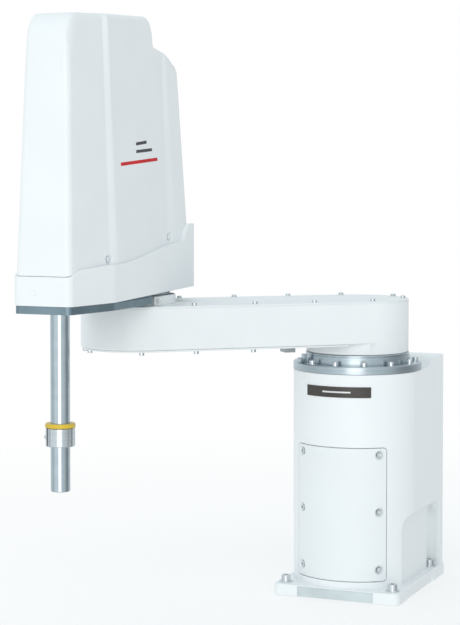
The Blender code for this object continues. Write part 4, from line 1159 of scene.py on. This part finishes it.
def arm2_casting():
    """A plate inside the skirt, a pad that shows below the skirt's nose, and a hub on the elbow."""
    low, high = node_z("arm2_frame")
    inside = skirt_outline(SKIRT_WALL + 0.6)
    plate_low, plate_high = FRAME_PLATE_Z
    plate = prism(inside, plate_low, plate_high)
    pad = prism(skirt_outline(1.4), low, skirt_bottom(SKIRT_NOSE_X) - 0.4)
    neck = prism(inside, low + 5.0, plate_low + 1.0)
    for part in (pad, neck):
        cut(part, box((-100.0, -70.0, low - 5.0), (FRAME_PAD_END_X, 70.0, plate_high + 10.0)))
    hub = cylinder(FRAME_HUB_R, FRAME_HUB_BOTTOM, plate_low + 2.0, 96)
    fuse(plate, neck, pad, hub, cylinder(FRAME_HUB_R - 2.0, plate_low + 1.0, high, 96))
    spline_bore = cylinder(SPLINE_BORE_R, low - 5.0, plate_high + 5.0, 96, (ARM2_LENGTH, 0.0))
    cut(plate, cylinder(12.0, low, high + 8.0, 48), spline_bore)
    return bevel(plate, 0.6, 2, 30.0)


def build_arm2():
    piece(cover_shell(), "cover_shell", "arm2", "cover_plastic", "arm2_cover")
    piece(skirt_shell(), "skirt_shell", "arm2", "cover_plastic", "arm2_skirt")
    piece(arm2_casting(), "arm2_casting", "arm2", "dark_aluminium", "arm2_frame")
    for number, (x, z, side) in enumerate(cover_screw_places(), 1):
        screw = aim_sideways(socket_screw(*COVER_SCREW), x, z, side, cover_half_width(x, z) - 1.5)
        name = f"cover_cap_screw_{number}"
        piece(screw, name, "arm2", "screw_steel", f"cover_screw_{number}", look="pale_screw")
    plug = turned([(0.0, 0.0), (3.0, 0.0), (3.0, 0.4), (2.6, 0.9), (0.0, 0.9)], 32)
    low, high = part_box("nose_plug")
    center = ARM2_FRAME.inverted() @ ((low + high) / 2.0) / MM
    moved(moved(plug, axis="Y", degrees=90.0), (SKIRT_NOSE_X + 0.05, center.y, center.z))
    piece(plug, "nose_cap", "arm2", "cover_plastic", "nose_plug")
    for side, name in ((1.0, "right"), (-1.0, "left")):
        piece(flank_patch(*STRIPE, side), f"stripe_{name}", "arm2", "cover_plastic", look="red_print")
        bars = [flank_patch(*bar, side) for bar in PLAIN_BARS]
        piece(join(bars), f"plain_bars_{name}", "arm2", "cover_plastic", look="grey_print")


def build_shaft():
    low, high = node_z("z_shaft")
    profile = [(SHAFT_BORE_R, low + 0.8), (SHAFT_BORE_R + 0.8, low), (SHAFT_R - 1.0, low)]
    profile += [(SHAFT_R - 0.3, low + 0.4), (SHAFT_R, low + 1.2)]
    profile += [(SHAFT_R, high - 1.0), (SHAFT_R - 1.0, high), (SHAFT_BORE_R, high)]
    piece(turned(profile, 128), "shaft_tube", "shaft", "chrome", "z_shaft")
    low, high = node_z("lower_stop_collar")
    high += COLLAR_SHIFT
    inner, edge = SHAFT_R + 0.05, 0.7
    profile = [(inner, low + edge), (inner + edge, low), (COLLAR_R - edge, low), (COLLAR_R, low + edge)]
    profile += [(COLLAR_R, high - edge), (COLLAR_R - edge, high), (inner + edge, high), (inner, high - edge)]
    clamp = turned(profile, 128)
    cut(clamp, box((10.0, -1.2, low - 5.0), (25.0, 1.2, high + 5.0)))
    middle = (low + high) / 2.0
    cut(clamp, moved(cylinder(4.0, 4.5, 20.0, 40), (COLLAR_SCREW_X, 0.0, middle), "X", 90.0))
    for angle in (26.0, 102.0, 122.0):
        groove = cylinder(0.55, low - 2.0, high + 2.0, 12, (COLLAR_R + 0.15, 0.0))
        cut(clamp, moved(groove, degrees=angle))
    moved(clamp, degrees=COLLAR_TURN)
    piece(clamp, "clamp_collar", "shaft", "machined_steel", "lower_stop_collar", look="shaft_steel")
    screw = moved(socket_screw(*CAP_SCREW), (COLLAR_SCREW_X, -4.6, middle), "X", 90.0)
    moved(screw, degrees=COLLAR_TURN)
    piece(screw, "clamp_screw", "shaft", "screw_steel")
    low, high = node_z("stop_bumper")
    low += COLLAR_SHIFT
    profile = [(SHAFT_R + 0.3, low), (BUMPER_R - 0.5, low), (BUMPER_R, low + 0.5), (BUMPER_R, high - 1.2),
               (BUMPER_R - 1.0, high), (SHAFT_R + 0.3, high)]
    piece(turned(profile, 128), "bumper_ring", "shaft", "yellow_resin", "stop_bumper")


def finish_inner_nodes():
    """CAD nodes get the finish of their slot; round steel ones get rings about their own axis."""
    looks = dict.fromkeys(("j2_reducer", "j2_output_flange"), "elbow_steel")
    looks.update(dict.fromkeys(("spline_nut", "screw_nut", "upper_stop_collar"), "shaft_steel"))
    looks.update(dict.fromkeys(("spline_bearing_housing", "screw_bearing_housing"), "shaft_steel"))
    for name, obj in frame["nodes"].items():
        slot = NODE_SLOTS[name]
        obj.data.materials.clear()
        obj.data.materials.append(MATERIALS[looks.get(name, slot)])


# ---- studio

def build_floor():
    """A pale floor that fades into the white surroundings."""
    bm = bmesh.new()
    bmesh.ops.create_circle(bm, cap_ends=True, segments=96, radius=14.0)
    floor = object_from(bm)
    floor.name = "floor"
    floor.location.z = -0.0006
    material, tree, shader = new_material("floor", (0.93, 0.935, 0.94), 0.7)
    fade = spread(tree, vector_math(tree, "LENGTH", object_coordinates(tree)), 0.55, 1.0, 0.3, 1.6)
    glow = add_node(tree, "ShaderNodeEmission", {"Color": (1.0, 1.0, 1.0, 1.0), "Strength": 1.0})
    mix = add_node(tree, "ShaderNodeMixShader", {0: fade, 1: shader.outputs[0], 2: glow.outputs[0]})
    tree.links.new(mix.outputs[0], tree.nodes["Material Output"].inputs["Surface"])
    floor.data.materials.append(material)
    floor.visible_glossy = False


def build_surroundings():
    """Soft light from all round: bright in front, behind and above, darker at both sides."""
    world = bpy.data.worlds.new("studio")
    bpy.context.scene.world = world
    world.use_nodes = True
    tree = world.node_tree
    background = tree.nodes["Background"]
    direction = add_node(tree, "ShaderNodeTexCoord").outputs["Generated"]

    def share(vector, low, high, start=-1.0, end=1.0):
        """Low to high, by how far the direction points along a vector."""
        return spread(tree, vector_math(tree, "DOT_PRODUCT", direction, vector), low, high, start, end)

    def total(first, second):
        return add_node(tree, "ShaderNodeMath", {0: first, 1: second}, operation="ADD").outputs[0]

    ramp = add_node(tree, "ShaderNodeValToRGB")
    ramp.color_ramp.interpolation = "B_SPLINE"
    stops = ramp.color_ramp.elements
    stops[0].position, stops[1].position = 0.0, 1.0
    levels = ((0.0, 0.95), (0.3, 0.63), (0.5, 0.525), (0.62, 0.63), (0.78, 0.93), (1.0, 1.0))
    for position, _ in levels[1:-1]:
        stops.new(position)
    for stop, (_, level) in zip(stops, levels):
        stop.color = (level, level, level, 1.0)
    tree.links.new(share((0.387, -0.922, 0.0), 0.0, 1.0), ramp.inputs["Fac"])
    sky = share((0.0, 0.0, 1.0), 0.0, SKY, 0.05, 0.8)
    left = share((-0.922, -0.387, 0.0), -LEAN, LEAN)
    brightness = total(ramp.outputs["Color"], total(sky, left))
    seen = add_node(tree, "ShaderNodeLightPath").outputs["Is Camera Ray"]
    strength = add_node(tree, "ShaderNodeMix", {0: seen, 2: brightness, 3: 1.0}, data_type="FLOAT")
    tree.links.new(strength.outputs[0], background.inputs["Strength"])
    tint = blend_colors(tree, seen, (0.895, 0.96, 0.985), (1.0, 1.0, 1.0))
    tree.links.new(tint, background.inputs["Color"])


def build_key_light():
    """A large warm panel of light behind the camera."""
    light = bpy.data.lights.new("key_light", "AREA")
    light.shape = "RECTANGLE"
    light.size, light.size_y = 1.6, 2.6
    light.energy = 20.0
    light.color = (1.0, 0.95, 0.9)
    obj = bpy.data.objects.new("key_light", light)
    bpy.context.collection.objects.link(obj)
    obj.location = KEY_LIGHT_AT
    aim = Vector(KEY_LIGHT_AIM) - Vector(KEY_LIGHT_AT)
    obj.rotation_euler = aim.to_track_quat("-Z", "Y").to_euler()


def build_camera():
    """A long lens from the front right, at the height of the tall cover, looking slightly down."""
    data = bpy.data.cameras.new("camera")
    camera = bpy.data.objects.new("camera", data)
    bpy.context.collection.objects.link(camera)
    data.lens = 106.7
    data.sensor_width = 36.0
    data.shift_y = -0.12
    camera.location = CAMERA_AT
    camera.rotation_euler = (math.radians(90.0 - CAMERA_TILT), 0.0, math.radians(CAMERA_TURN))
    bpy.context.scene.camera = camera


def main():
    build_base()
    build_arm1()
    build_arm2()
    build_shaft()
    finish_inner_nodes()
    build_floor()
    build_surroundings()
    build_key_light()
    build_camera()
    bpy.context.scene.view_settings.view_transform = "Standard"


main()
